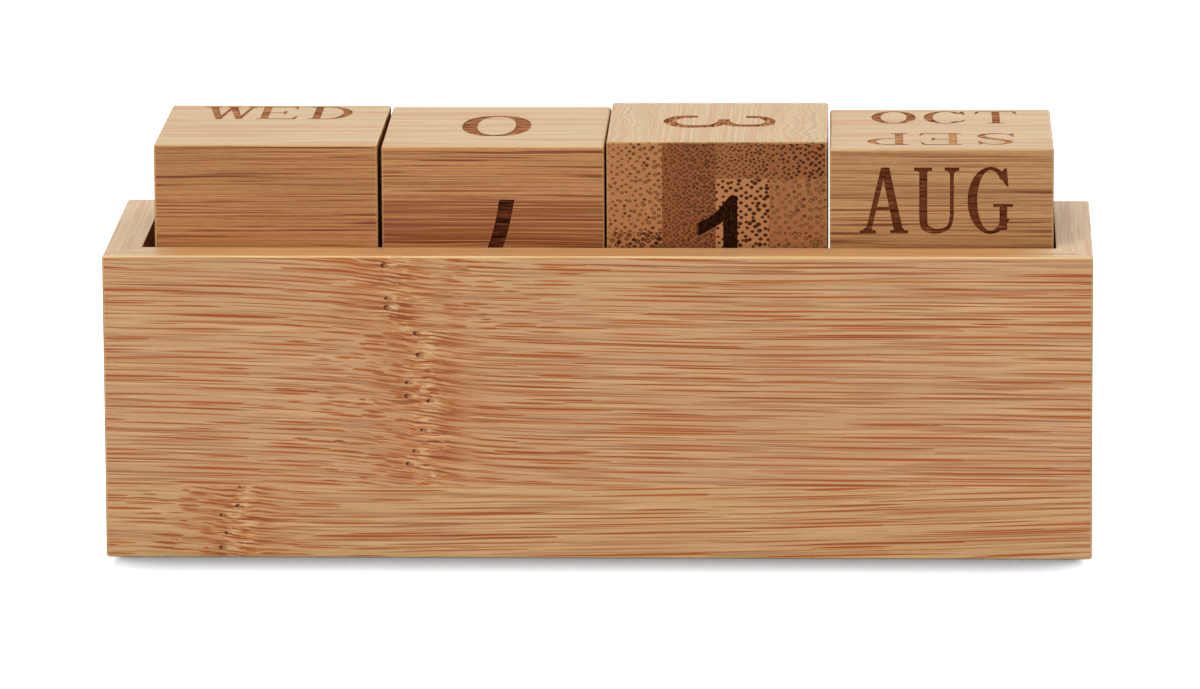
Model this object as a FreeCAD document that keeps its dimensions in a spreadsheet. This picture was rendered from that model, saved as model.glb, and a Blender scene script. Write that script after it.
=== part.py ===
import FreeCAD, Part
import math
import os

import Sketcher

# A desk calendar in bamboo. Four loose blocks (month, tens, units, day) stand on a shelf in a small case.
# The case has one tall back board, two end walls mitred to it, a base board, the shelf and a low front rail
# that stops the blocks from sliding off. Under the shelf a shallow drawer runs out to the front.
#
# Row frame: +Z up, +Y out of the front (the side that shows the date and has the drawer), X along the length.
# The origin is the middle of the underside. Each body's own origin is its low corner in x, y and z.

doc = FreeCAD.newDocument("desk_calendar")

# ---------------------------------------------------------------- driving dimensions (mm and degrees)

SIZES = [
    ("case_length", 133.0, "case, end to end"),
    ("case_depth", 40.6, "case, back face to front face"),
    ("case_height", 41.5, "height of the back board and end walls"),
    ("back_thick", 6.0, "back board"),
    ("wall_thick", 4.9, "end walls"),
    ("base_thick", 4.0, "base board"),
    ("shelf_top", 25.5, "height of the surface the blocks stand on"),
    ("shelf_thick", 4.0, "shelf"),
    ("rail_thick", 3.9, "front rail, front to back"),
    ("rail_lip", 3.0, "how far the rail stands above the shelf"),
    ("rail_drop", 1.6, "how far the rail hangs below the shelf, which stops the drawer"),
    ("edge_ease", 0.3, "rounding of sanded edges"),
    ("front_gap", 0.3, "clearance round the drawer front"),
    ("side_gap", 0.5, "clearance beside the drawer sides"),
    ("side_thick", 3.0, "drawer sides and back"),
    ("side_high", 14.6, "height of the drawer sides"),
    ("back_high", 17.0, "height of the drawer back, which catches behind the rail"),
    ("panel_thick", 2.0, "drawer bottom"),
    ("groove_deep", 1.0, "groove that holds the drawer bottom"),
    ("groove_low", 1.0, "height of the groove above the drawer's underside"),
    ("notch_radius", 7.0, "finger notch in the drawer front"),
    ("block_ease", 0.35, "rounding of the blocks' edges"),
    ("block_gap", 0.25, "clearance between the blocks and the back board"),
]

# Each block as cut: width, depth and height, the distance of its left back corner from the case's left end,
# and how far it stands turned on the shelf.
BLOCKS = {
    "day": (30.15, 30.0, 30.05, 6.65, -0.3),
    "units": (30.0, 30.0, 29.85, 37.35, 0.2),
    "tens": (29.7, 29.7, 30.5, 67.65, 0.45),
    "month": (30.0, 30.0, 29.5, 97.62, 0.6),
}
BLOCK_SIZES = ("wide", "deep", "high", "left", "turn")

sheet = doc.addObject("Spreadsheet::Sheet", "Dimensions")
rows = list(SIZES)
for block, values in BLOCKS.items():
    for size, value in zip(BLOCK_SIZES, values):
        rows.append((f"{block}_{size}", value, f"{block} block: {size}"))
for row, (alias, value, note) in enumerate(rows, start=1):
    sheet.set(f"A{row}", note)
    sheet.set(f"B{row}", str(value))
    sheet.setAlias(f"B{row}", alias)
doc.recompute()


def cell(alias):
    """The expression that reads one dimension."""
    return f"Dimensions.{alias}"


# Expressions that several pieces share, measured from the case's low left back corner.
INSIDE_LENGTH = f"({cell('case_length')} - 2 * {cell('wall_thick')})"
RAIL_BACK = f"({cell('case_depth')} - {cell('rail_thick')})"
RAIL_LOW = f"({cell('shelf_top')} - {cell('shelf_thick')} - {cell('rail_drop')})"
DRAWER_LEFT = f"({cell('wall_thick')} + {cell('side_gap')})"
DRAWER_LENGTH = f"({cell('case_length')} - 2 * {DRAWER_LEFT})"
DRAWER_INSIDE = f"({DRAWER_LENGTH} - 2 * {cell('side_thick')})"
DRAWER_DEPTH = f"({RAIL_BACK} - {cell('back_thick')})"
FRONT_HIGH = f"({RAIL_LOW} - {cell('base_thick')} - 2 * {cell('front_gap')})"
FRONT_LENGTH = f"({INSIDE_LENGTH} - 2 * {cell('front_gap')})"

# ---------------------------------------------------------------- helpers


def new_body(label, corner, turn=None):
    """An empty body whose origin is at corner: three expressions from the case's low left back corner."""
    body = doc.addObject("PartDesign::Body", label)
    body.Label = label
    shift = (f"- {cell('case_length')} / 2", f"- {cell('case_depth')} / 2", "")
    for axis, place, offset in zip("xyz", corner, shift):
        body.setExpression(f"Placement.Base.{axis}", f"{place} {offset}")
    if turn:
        body.Placement.Rotation = FreeCAD.Rotation(FreeCAD.Vector(0, 0, 1), 1)
        body.setExpression("Placement.Rotation.Angle", turn)
    return body


def plane(body, role):
    """One of a body's own origin planes."""
    return next(feature for feature in body.Origin.OriginFeatures if feature.Role == role)


def outline(body, name, corners, role="XY_Plane"):
    """A closed sketch of straight edges. Each corner is two expressions, none of them negative."""
    sketch = body.newObject("Sketcher::SketchObject", name)
    sketch.AttachmentSupport = (plane(body, role), [""])
    sketch.MapMode = "FlatFace"
    doc.recompute()
    places = [tuple(float(sketch.evalExpression(part)) for part in corner) for corner in corners]
    for start, end in zip(places, places[1:] + places[:1]):
        sketch.addGeometry(Part.LineSegment(FreeCAD.Vector(*start), FreeCAD.Vector(*end)), False)
    for edge in range(len(corners)):
        follower = (edge + 1) % len(corners)
        sketch.addConstraint(Sketcher.Constraint("Coincident", edge, 2, follower, 1))
    for edge, corner in enumerate(corners):
        for kind, part, value in zip(("DistanceX", "DistanceY"), corner, places[edge]):
            index = sketch.addConstraint(Sketcher.Constraint(kind, -1, 1, edge, 1, value))
            if part != "0":
                sketch.setExpression(f"Constraints[{index}]", part)
    return sketch


def rectangle(body, name, low, high, role="XY_Plane"):
    """A rectangle between two corners, each given as two expressions."""
    corners = [low, (high[0], low[1]), high, (low[0], high[1])]
    return outline(body, name, corners, role)


def pad(body, sketch, length):
    """The sketch made solid, upwards from its plane."""
    feature = body.newObject("PartDesign::Pad", f"{body.Name}_pad")
    feature.Profile = sketch
    feature.setExpression("Length", length)
    sketch.Visibility = False
    doc.recompute()
    return feature


def pocket(body, sketch, length, reverse):
    """The sketch cut out of the body. The volume has to fall, or the cut points away from the wood."""
    before = body.Shape.Volume
    feature = body.newObject("PartDesign::Pocket", f"{sketch.Name}_cut")
    feature.Profile = sketch
    feature.setExpression("Length", length)
    feature.Reversed = reverse
    doc.recompute()
    if body.Shape.Volume >= before:
        raise RuntimeError(f"{feature.Name} cuts nothing")
    return feature


def ease_edges(body, radius, wanted):
    """Sanded edges: a small rounding on every edge whose two ends pass the test."""
    base = body.Tip
    names = []
    for index, edge in enumerate(base.Shape.Edges, start=1):
        ends = [vertex.Point for vertex in edge.Vertexes]
        if wanted(*ends):
            names.append(f"Edge{index}")
    feature = body.newObject("PartDesign::Fillet", f"{body.Name}_ease")
    feature.Base = (base, names)
    feature.setExpression("Radius", radius)
    doc.recompute()
    return feature


def board(label, corner, size, eased=None):
    """A plain rectangular board."""
    body = new_body(label, corner)
    pad(body, rectangle(body, f"{label}_plan", ("0", "0"), size[:2]), size[2])
    if eased:
        ease_edges(body, cell("edge_ease"), eased)
    return body


def close(first, second):
    """True when two lengths are the same."""
    return math.isclose(first, second, abs_tol=1e-6)


def along(axis):
    """A test for edges that run along one axis of the body."""
    others = [name for name in "xyz" if name != axis]
    return lambda start, end: all(close(getattr(start, name), getattr(end, name)) for name in others)


# ---------------------------------------------------------------- the case

# Tall back board: a full-length board whose ends are cut to meet the end walls in a mitre.
back_board = new_body("back_board", ("0", "0", "0"))
back_plan = outline(back_board, "back_board_plan", [
    ("0", "0"),
    (cell("case_length"), "0"),
    (f"{cell('case_length')} - {cell('wall_thick')}", cell("back_thick")),
    (cell("wall_thick"), cell("back_thick")),
])
pad(back_board, back_plan, cell("case_height"))
ease_edges(back_board, cell("edge_ease"), along("x"))

# End walls: mitred at the back, square at the front.
left_wall = new_body("left_wall", ("0", "0", "0"))
left_plan = outline(left_wall, "left_wall_plan", [
    ("0", "0"),
    (cell("wall_thick"), cell("back_thick")),
    (cell("wall_thick"), cell("case_depth")),
    ("0", cell("case_depth")),
])
pad(left_wall, left_plan, cell("case_height"))

right_wall = new_body("right_wall", (f"{cell('case_length')} - {cell('wall_thick')}", "0", "0"))
right_plan = outline(right_wall, "right_wall_plan", [
    (cell("wall_thick"), "0"),
    (cell("wall_thick"), cell("case_depth")),
    ("0", cell("case_depth")),
    ("0", cell("back_thick")),
])
pad(right_wall, right_plan, cell("case_height"))


def front_or_top(start, end):
    """The edges of an end wall that a hand meets: the long ones and those round its front end."""
    at_front = close(start.y, sheet.case_depth) and close(end.y, sheet.case_depth)
    return along("y")(start, end) or at_front


for wall in (left_wall, right_wall):
    ease_edges(wall, cell("edge_ease"), front_or_top)

# Base board and shelf, both fitted between the walls.
base_board = board(
    "base_board",
    (cell("wall_thick"), cell("back_thick"), "0"),
    (INSIDE_LENGTH, f"{cell('case_depth')} - {cell('back_thick')}", cell("base_thick")),
    along("x"),
)
shelf = board(
    "shelf",
    (cell("wall_thick"), cell("back_thick"), f"{cell('shelf_top')} - {cell('shelf_thick')}"),
    (INSIDE_LENGTH, DRAWER_DEPTH, cell("shelf_thick")),
)

# Front rail: glued to the shelf's front edge, a lip above it and a stop for the drawer below it.
front_rail = board(
    "front_rail",
    (cell("wall_thick"), RAIL_BACK, RAIL_LOW),
    (INSIDE_LENGTH, cell("rail_thick"), f"{cell('shelf_top')} + {cell('rail_lip')} - {RAIL_LOW}"),
    along("x"),
)

# ---------------------------------------------------------------- the drawer

GROOVE_TOP = f"({cell('groove_low')} + {cell('panel_thick')})"


def groove(body, low, high, role, depth, reverse):
    """The slot that the drawer bottom slides into."""
    return pocket(body, rectangle(body, f"{body.Name}_groove", low, high, role), depth, reverse)


# Front, flush with the case, with a half-round finger notch in its top edge and a groove inside.
drawer_front = board(
    "drawer_front",
    (f"{cell('wall_thick')} + {cell('front_gap')}", RAIL_BACK, f"{cell('base_thick')} + {cell('front_gap')}"),
    (FRONT_LENGTH, cell("rail_thick"), FRONT_HIGH),
    along("x"),
)
notch = drawer_front.newObject("Sketcher::SketchObject", "notch_outline")
notch.AttachmentSupport = (plane(drawer_front, "XZ_Plane"), [""])
notch.MapMode = "FlatFace"
notch.addGeometry(Part.Circle(FreeCAD.Vector(1, 1, 0), FreeCAD.Vector(0, 0, 1), 1), False)
notch_size = notch.addConstraint(Sketcher.Constraint("Radius", 0, sheet.notch_radius))
notch_x = notch.addConstraint(Sketcher.Constraint("DistanceX", -1, 1, 0, 3, 1))
notch_z = notch.addConstraint(Sketcher.Constraint("DistanceY", -1, 1, 0, 3, 1))
notch.setExpression(f"Constraints[{notch_size}]", cell("notch_radius"))
notch.setExpression(f"Constraints[{notch_x}]", f"{FRONT_LENGTH} / 2")
notch.setExpression(f"Constraints[{notch_z}]", FRONT_HIGH)
doc.recompute()
pocket(drawer_front, notch, f"{cell('rail_thick')} * 2", False)
FRONT_TO_SIDE = f"({cell('side_gap')} - {cell('front_gap')} + {cell('side_thick')} - {cell('groove_deep')})"
FRONT_TO_FLOOR = cell("front_gap")
groove(
    drawer_front,
    (FRONT_TO_SIDE, f"{cell('groove_low')} - {FRONT_TO_FLOOR}"),
    (f"{FRONT_LENGTH} - {FRONT_TO_SIDE}", f"{GROOVE_TOP} - {FRONT_TO_FLOOR}"),
    "XZ_Plane",
    cell("groove_deep"),
    False,
)

# Sides: from the back board to the drawer front, grooved on the inside.
drawer_left = board(
    "drawer_left_side",
    (DRAWER_LEFT, cell("back_thick"), cell("base_thick")),
    (cell("side_thick"), DRAWER_DEPTH, cell("side_high")),
    along("y"),
)
drawer_right = board(
    "drawer_right_side",
    (f"{cell('case_length')} - {DRAWER_LEFT} - {cell('side_thick')}", cell("back_thick"), cell("base_thick")),
    (cell("side_thick"), DRAWER_DEPTH, cell("side_high")),
    along("y"),
)
SIDE_GROOVE = (f"{cell('side_thick')} - {cell('groove_deep')}", cell("side_thick"))
BACK_TO_PANEL = f"({cell('side_thick')} - {cell('groove_deep')})"
for side, across in ((drawer_left, SIDE_GROOVE), (drawer_right, ("0", cell("groove_deep")))):
    slot = rectangle(
        side,
        f"{side.Name}_groove",
        (across[0], BACK_TO_PANEL),
        (across[1], DRAWER_DEPTH),
    )
    slot.setExpression("AttachmentOffset.Base.z", cell("groove_low"))
    doc.recompute()
    pocket(side, slot, cell("panel_thick"), True)

# Back: between the sides and taller than they are, so that it catches behind the rail.
drawer_back = board(
    "drawer_back",
    (f"{DRAWER_LEFT} + {cell('side_thick')}", cell("back_thick"), cell("base_thick")),
    (DRAWER_INSIDE, cell("side_thick"), cell("back_high")),
    along("x"),
)
back_slot = rectangle(
    drawer_back,
    "drawer_back_groove",
    ("0", f"{cell('side_thick')} - {cell('groove_deep')}"),
    (DRAWER_INSIDE, cell("side_thick")),
)
back_slot.setExpression("AttachmentOffset.Base.z", cell("groove_low"))
doc.recompute()
pocket(drawer_back, back_slot, cell("panel_thick"), True)

# Bottom: a thin panel held in the groove all round.
drawer_bottom = board(
    "drawer_bottom",
    (
        f"{DRAWER_LEFT} + {cell('side_thick')} - {cell('groove_deep')}",
        f"{cell('back_thick')} + {BACK_TO_PANEL}",
        f"{cell('base_thick')} + {cell('groove_low')}",
    ),
    (
        f"{DRAWER_INSIDE} + 2 * {cell('groove_deep')}",
        f"{DRAWER_DEPTH} - {BACK_TO_PANEL} + {cell('groove_deep')}",
        cell("panel_thick"),
    ),
)

# ---------------------------------------------------------------- the loose blocks

blocks = []
for name in BLOCKS:
    place = (cell(f"{name}_left"), f"{cell('back_thick')} + {cell('block_gap')}", cell("shelf_top"))
    block = new_body(f"{name}_block", place, cell(f"{name}_turn"))
    plan = rectangle(block, f"{name}_plan", ("0", "0"), (cell(f"{name}_wide"), cell(f"{name}_deep")))
    pad(block, plan, cell(f"{name}_high"))
    ease_edges(block, cell("block_ease"), lambda start, end: True)
    blocks.append(block)

# ---------------------------------------------------------------- checks and files

doc.recompute()
for item in doc.Objects:
    if {"Invalid", "Error"} & set(item.State):
        raise RuntimeError(f"{item.Label}: {item.State}")

pieces = [
    back_board, left_wall, right_wall, base_board, shelf, front_rail,
    drawer_front, drawer_left, drawer_right, drawer_back, drawer_bottom,
] + blocks
for piece in pieces:
    if piece.Shape.isNull() or not piece.Shape.isValid():
        raise RuntimeError(f"{piece.Label} has no valid shape")

os.makedirs("parts", exist_ok=True)
for piece in pieces:
    box = piece.Shape.BoundBox
    print(
        f"{piece.Label:18s} {piece.Shape.Volume:9.1f} mm3"
        f"  x {box.XMin:7.2f} {box.XMax:7.2f}  y {box.YMin:7.2f} {box.YMax:7.2f}  z {box.ZMin:6.2f} {box.ZMax:6.2f}"
    )
    piece.Shape.exportStep(f"parts/{piece.Label}.step")
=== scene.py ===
# %% [markdown]
# # A bamboo desk calendar with a drawer
#
# The real thing is a small case of glued bamboo boards. Four loose blocks stand in it and show the month,
# the date and the day. Their names and digits are burnt in with a laser.
#
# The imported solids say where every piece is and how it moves. This script dresses them: it makes the boards
# and blocks again with sanded edges and engraved faces, and gives every piece a bamboo finish.

# %% Load the frame
import math
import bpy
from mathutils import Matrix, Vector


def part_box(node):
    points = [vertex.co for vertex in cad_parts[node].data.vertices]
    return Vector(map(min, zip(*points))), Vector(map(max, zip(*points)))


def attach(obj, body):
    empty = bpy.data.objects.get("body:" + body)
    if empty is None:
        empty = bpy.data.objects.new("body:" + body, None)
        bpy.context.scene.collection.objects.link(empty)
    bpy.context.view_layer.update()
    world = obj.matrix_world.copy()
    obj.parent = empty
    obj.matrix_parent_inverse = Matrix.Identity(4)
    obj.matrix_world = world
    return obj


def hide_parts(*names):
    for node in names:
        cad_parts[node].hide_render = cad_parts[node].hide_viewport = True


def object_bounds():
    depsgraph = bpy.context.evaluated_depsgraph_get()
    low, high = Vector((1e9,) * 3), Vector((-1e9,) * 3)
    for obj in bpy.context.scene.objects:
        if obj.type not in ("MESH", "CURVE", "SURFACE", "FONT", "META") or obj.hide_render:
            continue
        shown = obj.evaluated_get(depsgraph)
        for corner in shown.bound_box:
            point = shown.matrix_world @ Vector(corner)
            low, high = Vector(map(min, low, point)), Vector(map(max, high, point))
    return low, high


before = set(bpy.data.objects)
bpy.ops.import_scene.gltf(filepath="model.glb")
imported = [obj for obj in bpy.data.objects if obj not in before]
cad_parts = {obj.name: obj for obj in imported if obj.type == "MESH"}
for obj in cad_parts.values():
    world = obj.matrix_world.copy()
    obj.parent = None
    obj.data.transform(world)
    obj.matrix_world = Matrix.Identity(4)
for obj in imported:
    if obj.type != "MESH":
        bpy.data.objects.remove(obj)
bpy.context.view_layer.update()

from types import SimpleNamespace

import bmesh
import bpy
from mathutils import Matrix, Vector, noise
from mathutils.geometry import delaunay_2d_cdt


MM = 0.001
scene = bpy.context.scene
print("nodes:", sorted(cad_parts))

# %% [markdown]
# ## The camera
#
# A small object looks calm and square when it is taken from far off with a long lens, because its upright
# edges then stay upright. The camera stands a little above the object and looks slightly down, so that the
# tops of the blocks show as narrow bands.

# %% Camera
IMAGE_WIDE = 1200
SENSOR_WIDE = 36.0
FOCAL_PIXELS = 9347.0
CAMERA_PLACE = Vector((47.4, -1248.6, 282.8)) * MM
CAMERA_TURN = 0.03825
CAMERA_DOWN = 0.20326
CAMERA_ROLL = -0.00565
CLIP_FAR = 20.0

camera_data = bpy.data.cameras.new("long_lens")
camera_data.sensor_fit = "HORIZONTAL"
camera_data.sensor_width = SENSOR_WIDE
camera_data.lens = FOCAL_PIXELS * SENSOR_WIDE / IMAGE_WIDE
camera_data.clip_end = CLIP_FAR
camera = bpy.data.objects.new("camera", camera_data)
turn = Matrix.Rotation(CAMERA_TURN, 4, "Z")
tilt = Matrix.Rotation(math.pi / 2 - CAMERA_DOWN, 4, "X")
roll = Matrix.Rotation(CAMERA_ROLL, 4, "Z")
camera.matrix_world = Matrix.Translation(CAMERA_PLACE) @ turn @ tilt @ roll
scene.collection.objects.link(camera)
scene.camera = camera
scene.view_settings.view_transform = "Standard"
print("lens", round(camera_data.lens, 1), "mm, camera at", [round(v, 3) for v in CAMERA_PLACE])

# %% [markdown]
# ## Writing node trees as sums
#
# A bamboo finish is mostly arithmetic: how far a point is from a fibre, how wide that fibre is there. Such
# sums are hard to read as boxes and threads. So one small class stands for a thread: adding two of them adds
# a Math node. The same class serves for materials and for geometry.

# %% The thread
class Thread:
    """One output socket. Sums with it add Math nodes to its tree."""

    def __init__(self, bench, socket):
        self.bench = bench
        self.socket = socket

    def __add__(self, other):
        return self.bench.math("ADD", self, other)

    def __sub__(self, other):
        return self.bench.math("SUBTRACT", self, other)

    def __rsub__(self, other):
        return self.bench.math("SUBTRACT", other, self)

    def __mul__(self, other):
        return self.bench.math("MULTIPLY", self, other)

    def __truediv__(self, other):
        return self.bench.math("DIVIDE", self, other)

    def __rtruediv__(self, other):
        return self.bench.math("DIVIDE", other, self)

    def __pow__(self, other):
        return self.bench.math("POWER", self, other)

    def __neg__(self):
        return self * -1.0

    def __abs__(self):
        return self.bench.math("ABSOLUTE", self)

    __radd__ = __add__
    __rmul__ = __mul__


print("thread ready: sums with it become Math nodes")

# %% [markdown]
# Every node comes from one method, `node`, which sets the node's settings first and then its sockets. The
# short methods after it only save writing. Random patterns are flat here: a point is given by two numbers,
# and the scale is 1, because those numbers already say how long and how wide the pattern is.

# %% The bench
class Bench:
    """A node tree in the making."""

    def __init__(self, tree):
        self.tree = tree

    def node(self, kind, settings=None, values=None, out=0):
        """Adds a node: its settings, then its sockets. Gives the thread of one output, by name or place."""
        made = self.tree.nodes.new(kind)
        for name, value in (settings or {}).items():
            setattr(made, name, value)
        for name, value in (values or {}).items():
            socket = made.inputs[name]
            if isinstance(value, Thread):
                self.tree.links.new(value.socket, socket)
            else:
                socket.default_value = value
        return Thread(self, made.outputs[out]) if len(made.outputs) else made

    def also(self, thread, out):
        """Another output of the same node."""
        return Thread(self, thread.socket.node.outputs[out])

    def math(self, operation, *terms):
        """A Math node of any operation."""
        return self.node("ShaderNodeMath", {"operation": operation}, dict(enumerate(terms)))

    def most(self, first, second):
        """The larger of two numbers."""
        return self.math("MAXIMUM", first, second)

    def root(self, value):
        """A square root."""
        return self.math("SQRT", value)

    def vector(self, operation, *terms, out=0):
        """A Vector Math node of any operation."""
        return self.node("ShaderNodeVectorMath", {"operation": operation}, dict(enumerate(terms)), out)

    def scaled(self, vector, by):
        """A vector made longer or shorter."""
        return self.node("ShaderNodeVectorMath", {"operation": "SCALE"}, {0: vector, "Scale": by})

    def parts(self, vector):
        """The three numbers of a vector."""
        x = self.node("ShaderNodeSeparateXYZ", {}, {0: vector}, "X")
        return x, self.also(x, "Y"), self.also(x, "Z")

    def join(self, x, y, z=0.0):
        """Three numbers as a vector."""
        return self.node("ShaderNodeCombineXYZ", {}, {"X": x, "Y": y, "Z": z})

    def step(self, value, low, high):
        """A soft step: 0 up to `low`, 1 from `high` on."""
        settings = {"interpolation_type": "SMOOTHSTEP"}
        return self.node("ShaderNodeMapRange", settings, {0: value, 1: low, 2: high})

    def bell(self, value, reach):
        """1 where the value is 0, and next to nothing beyond twice the reach."""
        part = value / reach
        return self.math("EXPONENT", -(part * part))

    def mix(self, part, first, second, blend="MIX"):
        """Two colours mixed."""
        settings = {"data_type": "RGBA", "blend_type": blend}
        return self.node("ShaderNodeMix", settings, {0: part, 6: first, 7: second}, 2)

    def tinted(self, colour, tint):
        """One colour seen through another."""
        return self.mix(1.0, colour, tint, "MULTIPLY")

    def shade(self, red, green, blue):
        """Three numbers as a colour."""
        return self.node("ShaderNodeCombineColor", {}, {0: red, 1: green, 2: blue})

    def choose(self, number, values):
        """One of several values, by a whole number that counts from 0."""
        chosen = values[0]
        for place, (here, following) in enumerate(zip(values, values[1:])):
            chosen = self.math("GREATER_THAN", number, place + 0.5) * (following - here) + chosen
        return chosen

    def noise(self, x, y, detail=2.0, rough=0.5):
        """Soft random values from 0 to 1, with their middle at 0.5."""
        values = {"Vector": self.join(x, y), "Scale": 1.0, "Detail": detail, "Roughness": rough}
        return self.node("ShaderNodeTexNoise", {"noise_dimensions": "2D"}, values)

    def swing(self, x, y, detail=2.0, rough=0.5):
        """The same about 0, from -0.5 to 0.5."""
        return self.noise(x, y, detail, rough) - 0.5

    def cells(self, x, y, jitter):
        """Irregular cells. Gives each one's three chances, the way from its middle, and that middle's x."""
        spot = self.join(x, y)
        values = {"Vector": spot, "Scale": 1.0, "Randomness": jitter}
        dice = self.node("ShaderNodeTexVoronoi", {"voronoi_dimensions": "2D"}, values, "Color")
        middle_x, middle_y, unused = self.parts(self.also(dice, "Position"))
        at_x, at_y, unused = self.parts(spot)
        return self.parts(dice), at_x - middle_x, at_y - middle_y, middle_x


def open_bench(owner):
    """A bench with the emptied node tree of a material or a world."""
    owner.use_nodes = True
    owner.node_tree.nodes.clear()
    return Bench(owner.node_tree)


def paint(red, green, blue):
    """A colour as painters' charts give it, 0 to 255, as the renderer's linear numbers."""
    def linear(part):
        value = part / 255.0
        return value / 12.92 if value <= 0.04045 else ((value + 0.055) / 1.055) ** 2.4

    return linear(red), linear(green), linear(blue), 1.0


print("white as linear numbers:", paint(255, 255, 255))

# %% [markdown]
# ## World and lamps
#
# The object stands in an even, soft light, as in a light tent. The world gives most of that light. One wide
# lamp in front and above adds a little modelling, and a weak one behind opens the shadows. Rays that come
# straight from the camera see plain white, so the background stays clean without more light on the bamboo.

# %% World and lamps
WHITE = (1.0, 1.0, 1.0, 1.0)
SKY_LEVEL = 0.4
KEY_PLACE = Vector((-0.3, -1.0, 1.75))
KEY_WIDE = 1.3
KEY_POWER = 31.0
FILL_PLACE = Vector((0.9, 1.1, 0.9))
FILL_WIDE = 1.2
FILL_POWER = 7.0


def seen_straight(bench):
    """1 for rays that come from the camera, straight or by way of gloss or glass."""
    seen = bench.node("ShaderNodeLightPath", out="Is Camera Ray")
    shown = bench.most(seen, bench.also(seen, "Is Glossy Ray"))
    return bench.most(shown, bench.also(seen, "Is Transmission Ray"))


def lamp(name, place, wide, power):
    """A square soft lamp aimed at the object."""
    data = bpy.data.lights.new(name, "AREA")
    data.shape = "SQUARE"
    data.size = wide
    data.energy = power
    made = bpy.data.objects.new(name, data)
    aim = (-place).to_track_quat("-Z", "Y").to_matrix().to_4x4()
    made.matrix_world = Matrix.Translation(place) @ aim
    scene.collection.objects.link(made)


world = bpy.data.worlds.new("light_tent")
sky = open_bench(world)
lit = sky.node("ShaderNodeBackground", {}, {"Color": WHITE, "Strength": SKY_LEVEL})
plain = sky.node("ShaderNodeBackground", {}, {"Color": WHITE, "Strength": 1.0})
both = sky.node("ShaderNodeMixShader", {}, {0: seen_straight(sky), 1: lit, 2: plain})
sky.node("ShaderNodeOutputWorld", {}, {"Surface": both})
scene.world = world
lamp("key_lamp", KEY_PLACE, KEY_WIDE, KEY_POWER)
lamp("fill_lamp", FILL_PLACE, FILL_WIDE, FILL_POWER)
print("lamps:", [light.name for light in bpy.data.lights])

# %% [markdown]
# ## The floor
#
# The floor is plain matt white. The camera sees a brighter copy of it, which still darkens close to the
# object, where little of the sky is open, so the object doesn't seem to float. An Ambient Occlusion node
# finds how open it is. Its direction leans towards the far side, so the near edge gets the darkest line, and
# the line stops at the ends of the case.

# %% Floor
FLOOR_COLOUR = paint(226, 226, 227)
FLOOR_SHOWN = paint(236, 242, 247)
FLOOR_LIFT = 0.5
FLOOR_HALF = 4.0
CONTACT_REACH = 0.013
CONTACT_LEAN = (0.0, 0.8, 0.6)
CONTACT_FLOOR = 0.13
CONTACT_RISE = 1.3
CONTACT_END = 0.003
CONTACT_SAMPLES = 8

floor_finish = bpy.data.materials.new("floor_paint")
paper = open_bench(floor_finish)
matt = paper.node("ShaderNodeBsdfDiffuse", {}, {"Color": FLOOR_COLOUR})
leaning = {"Distance": CONTACT_REACH, "Normal": paper.join(*CONTACT_LEAN)}
open_sky = paper.node("ShaderNodeAmbientOcclusion", {"samples": CONTACT_SAMPLES}, leaning, "AO")
contact = (open_sky - CONTACT_FLOOR) * CONTACT_RISE
sideways = paper.parts(paper.node("ShaderNodeTexCoord", out="Object"))[0]
case_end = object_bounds()[1][0]
contact = paper.most(contact, paper.step(abs(sideways), case_end - CONTACT_END, case_end))
shade = paper.shade(contact, contact, contact)
shown_matt = paper.node("ShaderNodeBsdfDiffuse", {}, {"Color": paper.tinted(FLOOR_SHOWN, shade)})
lift = paper.node("ShaderNodeEmission", {}, {"Color": shade, "Strength": FLOOR_LIFT})
lifted = paper.node("ShaderNodeAddShader", {}, {0: shown_matt, 1: lift})
floor_look = paper.node("ShaderNodeMixShader", {}, {0: seen_straight(paper), 1: matt, 2: lifted})
paper.node("ShaderNodeOutputMaterial", {}, {"Surface": floor_look})

corners = [(-1, -1), (1, -1), (1, 1), (-1, 1)]
floor_mesh = bpy.data.meshes.new("floor")
floor_mesh.from_pydata([(x * FLOOR_HALF, y * FLOOR_HALF, 0.0) for x, y in corners], [], [(0, 1, 2, 3)])
floor_mesh.materials.append(floor_finish)
floor = bpy.data.objects.new("floor", floor_mesh)
scene.collection.objects.link(floor)
print("floor finish has", len(floor_finish.node_tree.nodes), "nodes")

# %% [markdown]
# ## The bamboo finish
#
# Bamboo boards are glued from strips about 20 mm wide. Along each strip run bundles of hard fibre. A plane
# cuts them at a very small angle, so on a long face they show as thin lens-shaped dashes, orange brown in the
# straw-coloured pith. On a face cut across the stem, the same bundles are dark dots. Every 200 to 300 mm the
# stem has a knuckle, where the fibres sway and break up and small dark pores open.
#
# All sizes here are in millimetres, so the pattern has its true scale. The colours come first: pith, fibres,
# knuckle, cut ends, a painted highlight for edges and painted light for level faces, and what the laser
# burnt.

# %% Bamboo colours
STRAW = paint(199, 159, 109)
STRAW_ROSY = paint(195, 151, 109)
PALE = paint(226, 184, 130)
DASH = paint(166, 78, 24)
DASH_DARK = paint(134, 62, 26)
GLOW = paint(190, 114, 50)
HAIR = paint(142, 68, 34)
KNOT = paint(140, 62, 26)
CREAM = paint(232, 202, 148)
PIT = paint(80, 26, 22)
END_PALE = paint(183, 124, 79)
END_DARK = paint(134, 76, 44)
END_DOT = paint(52, 22, 10)
END_HEART = paint(186, 130, 84)
# Pale gold for rounded edges: partly the sanding, partly a painted highlight of the light they catch.
EDGE_HIGHLIGHT_GOLD = paint(240, 210, 140)
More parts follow.
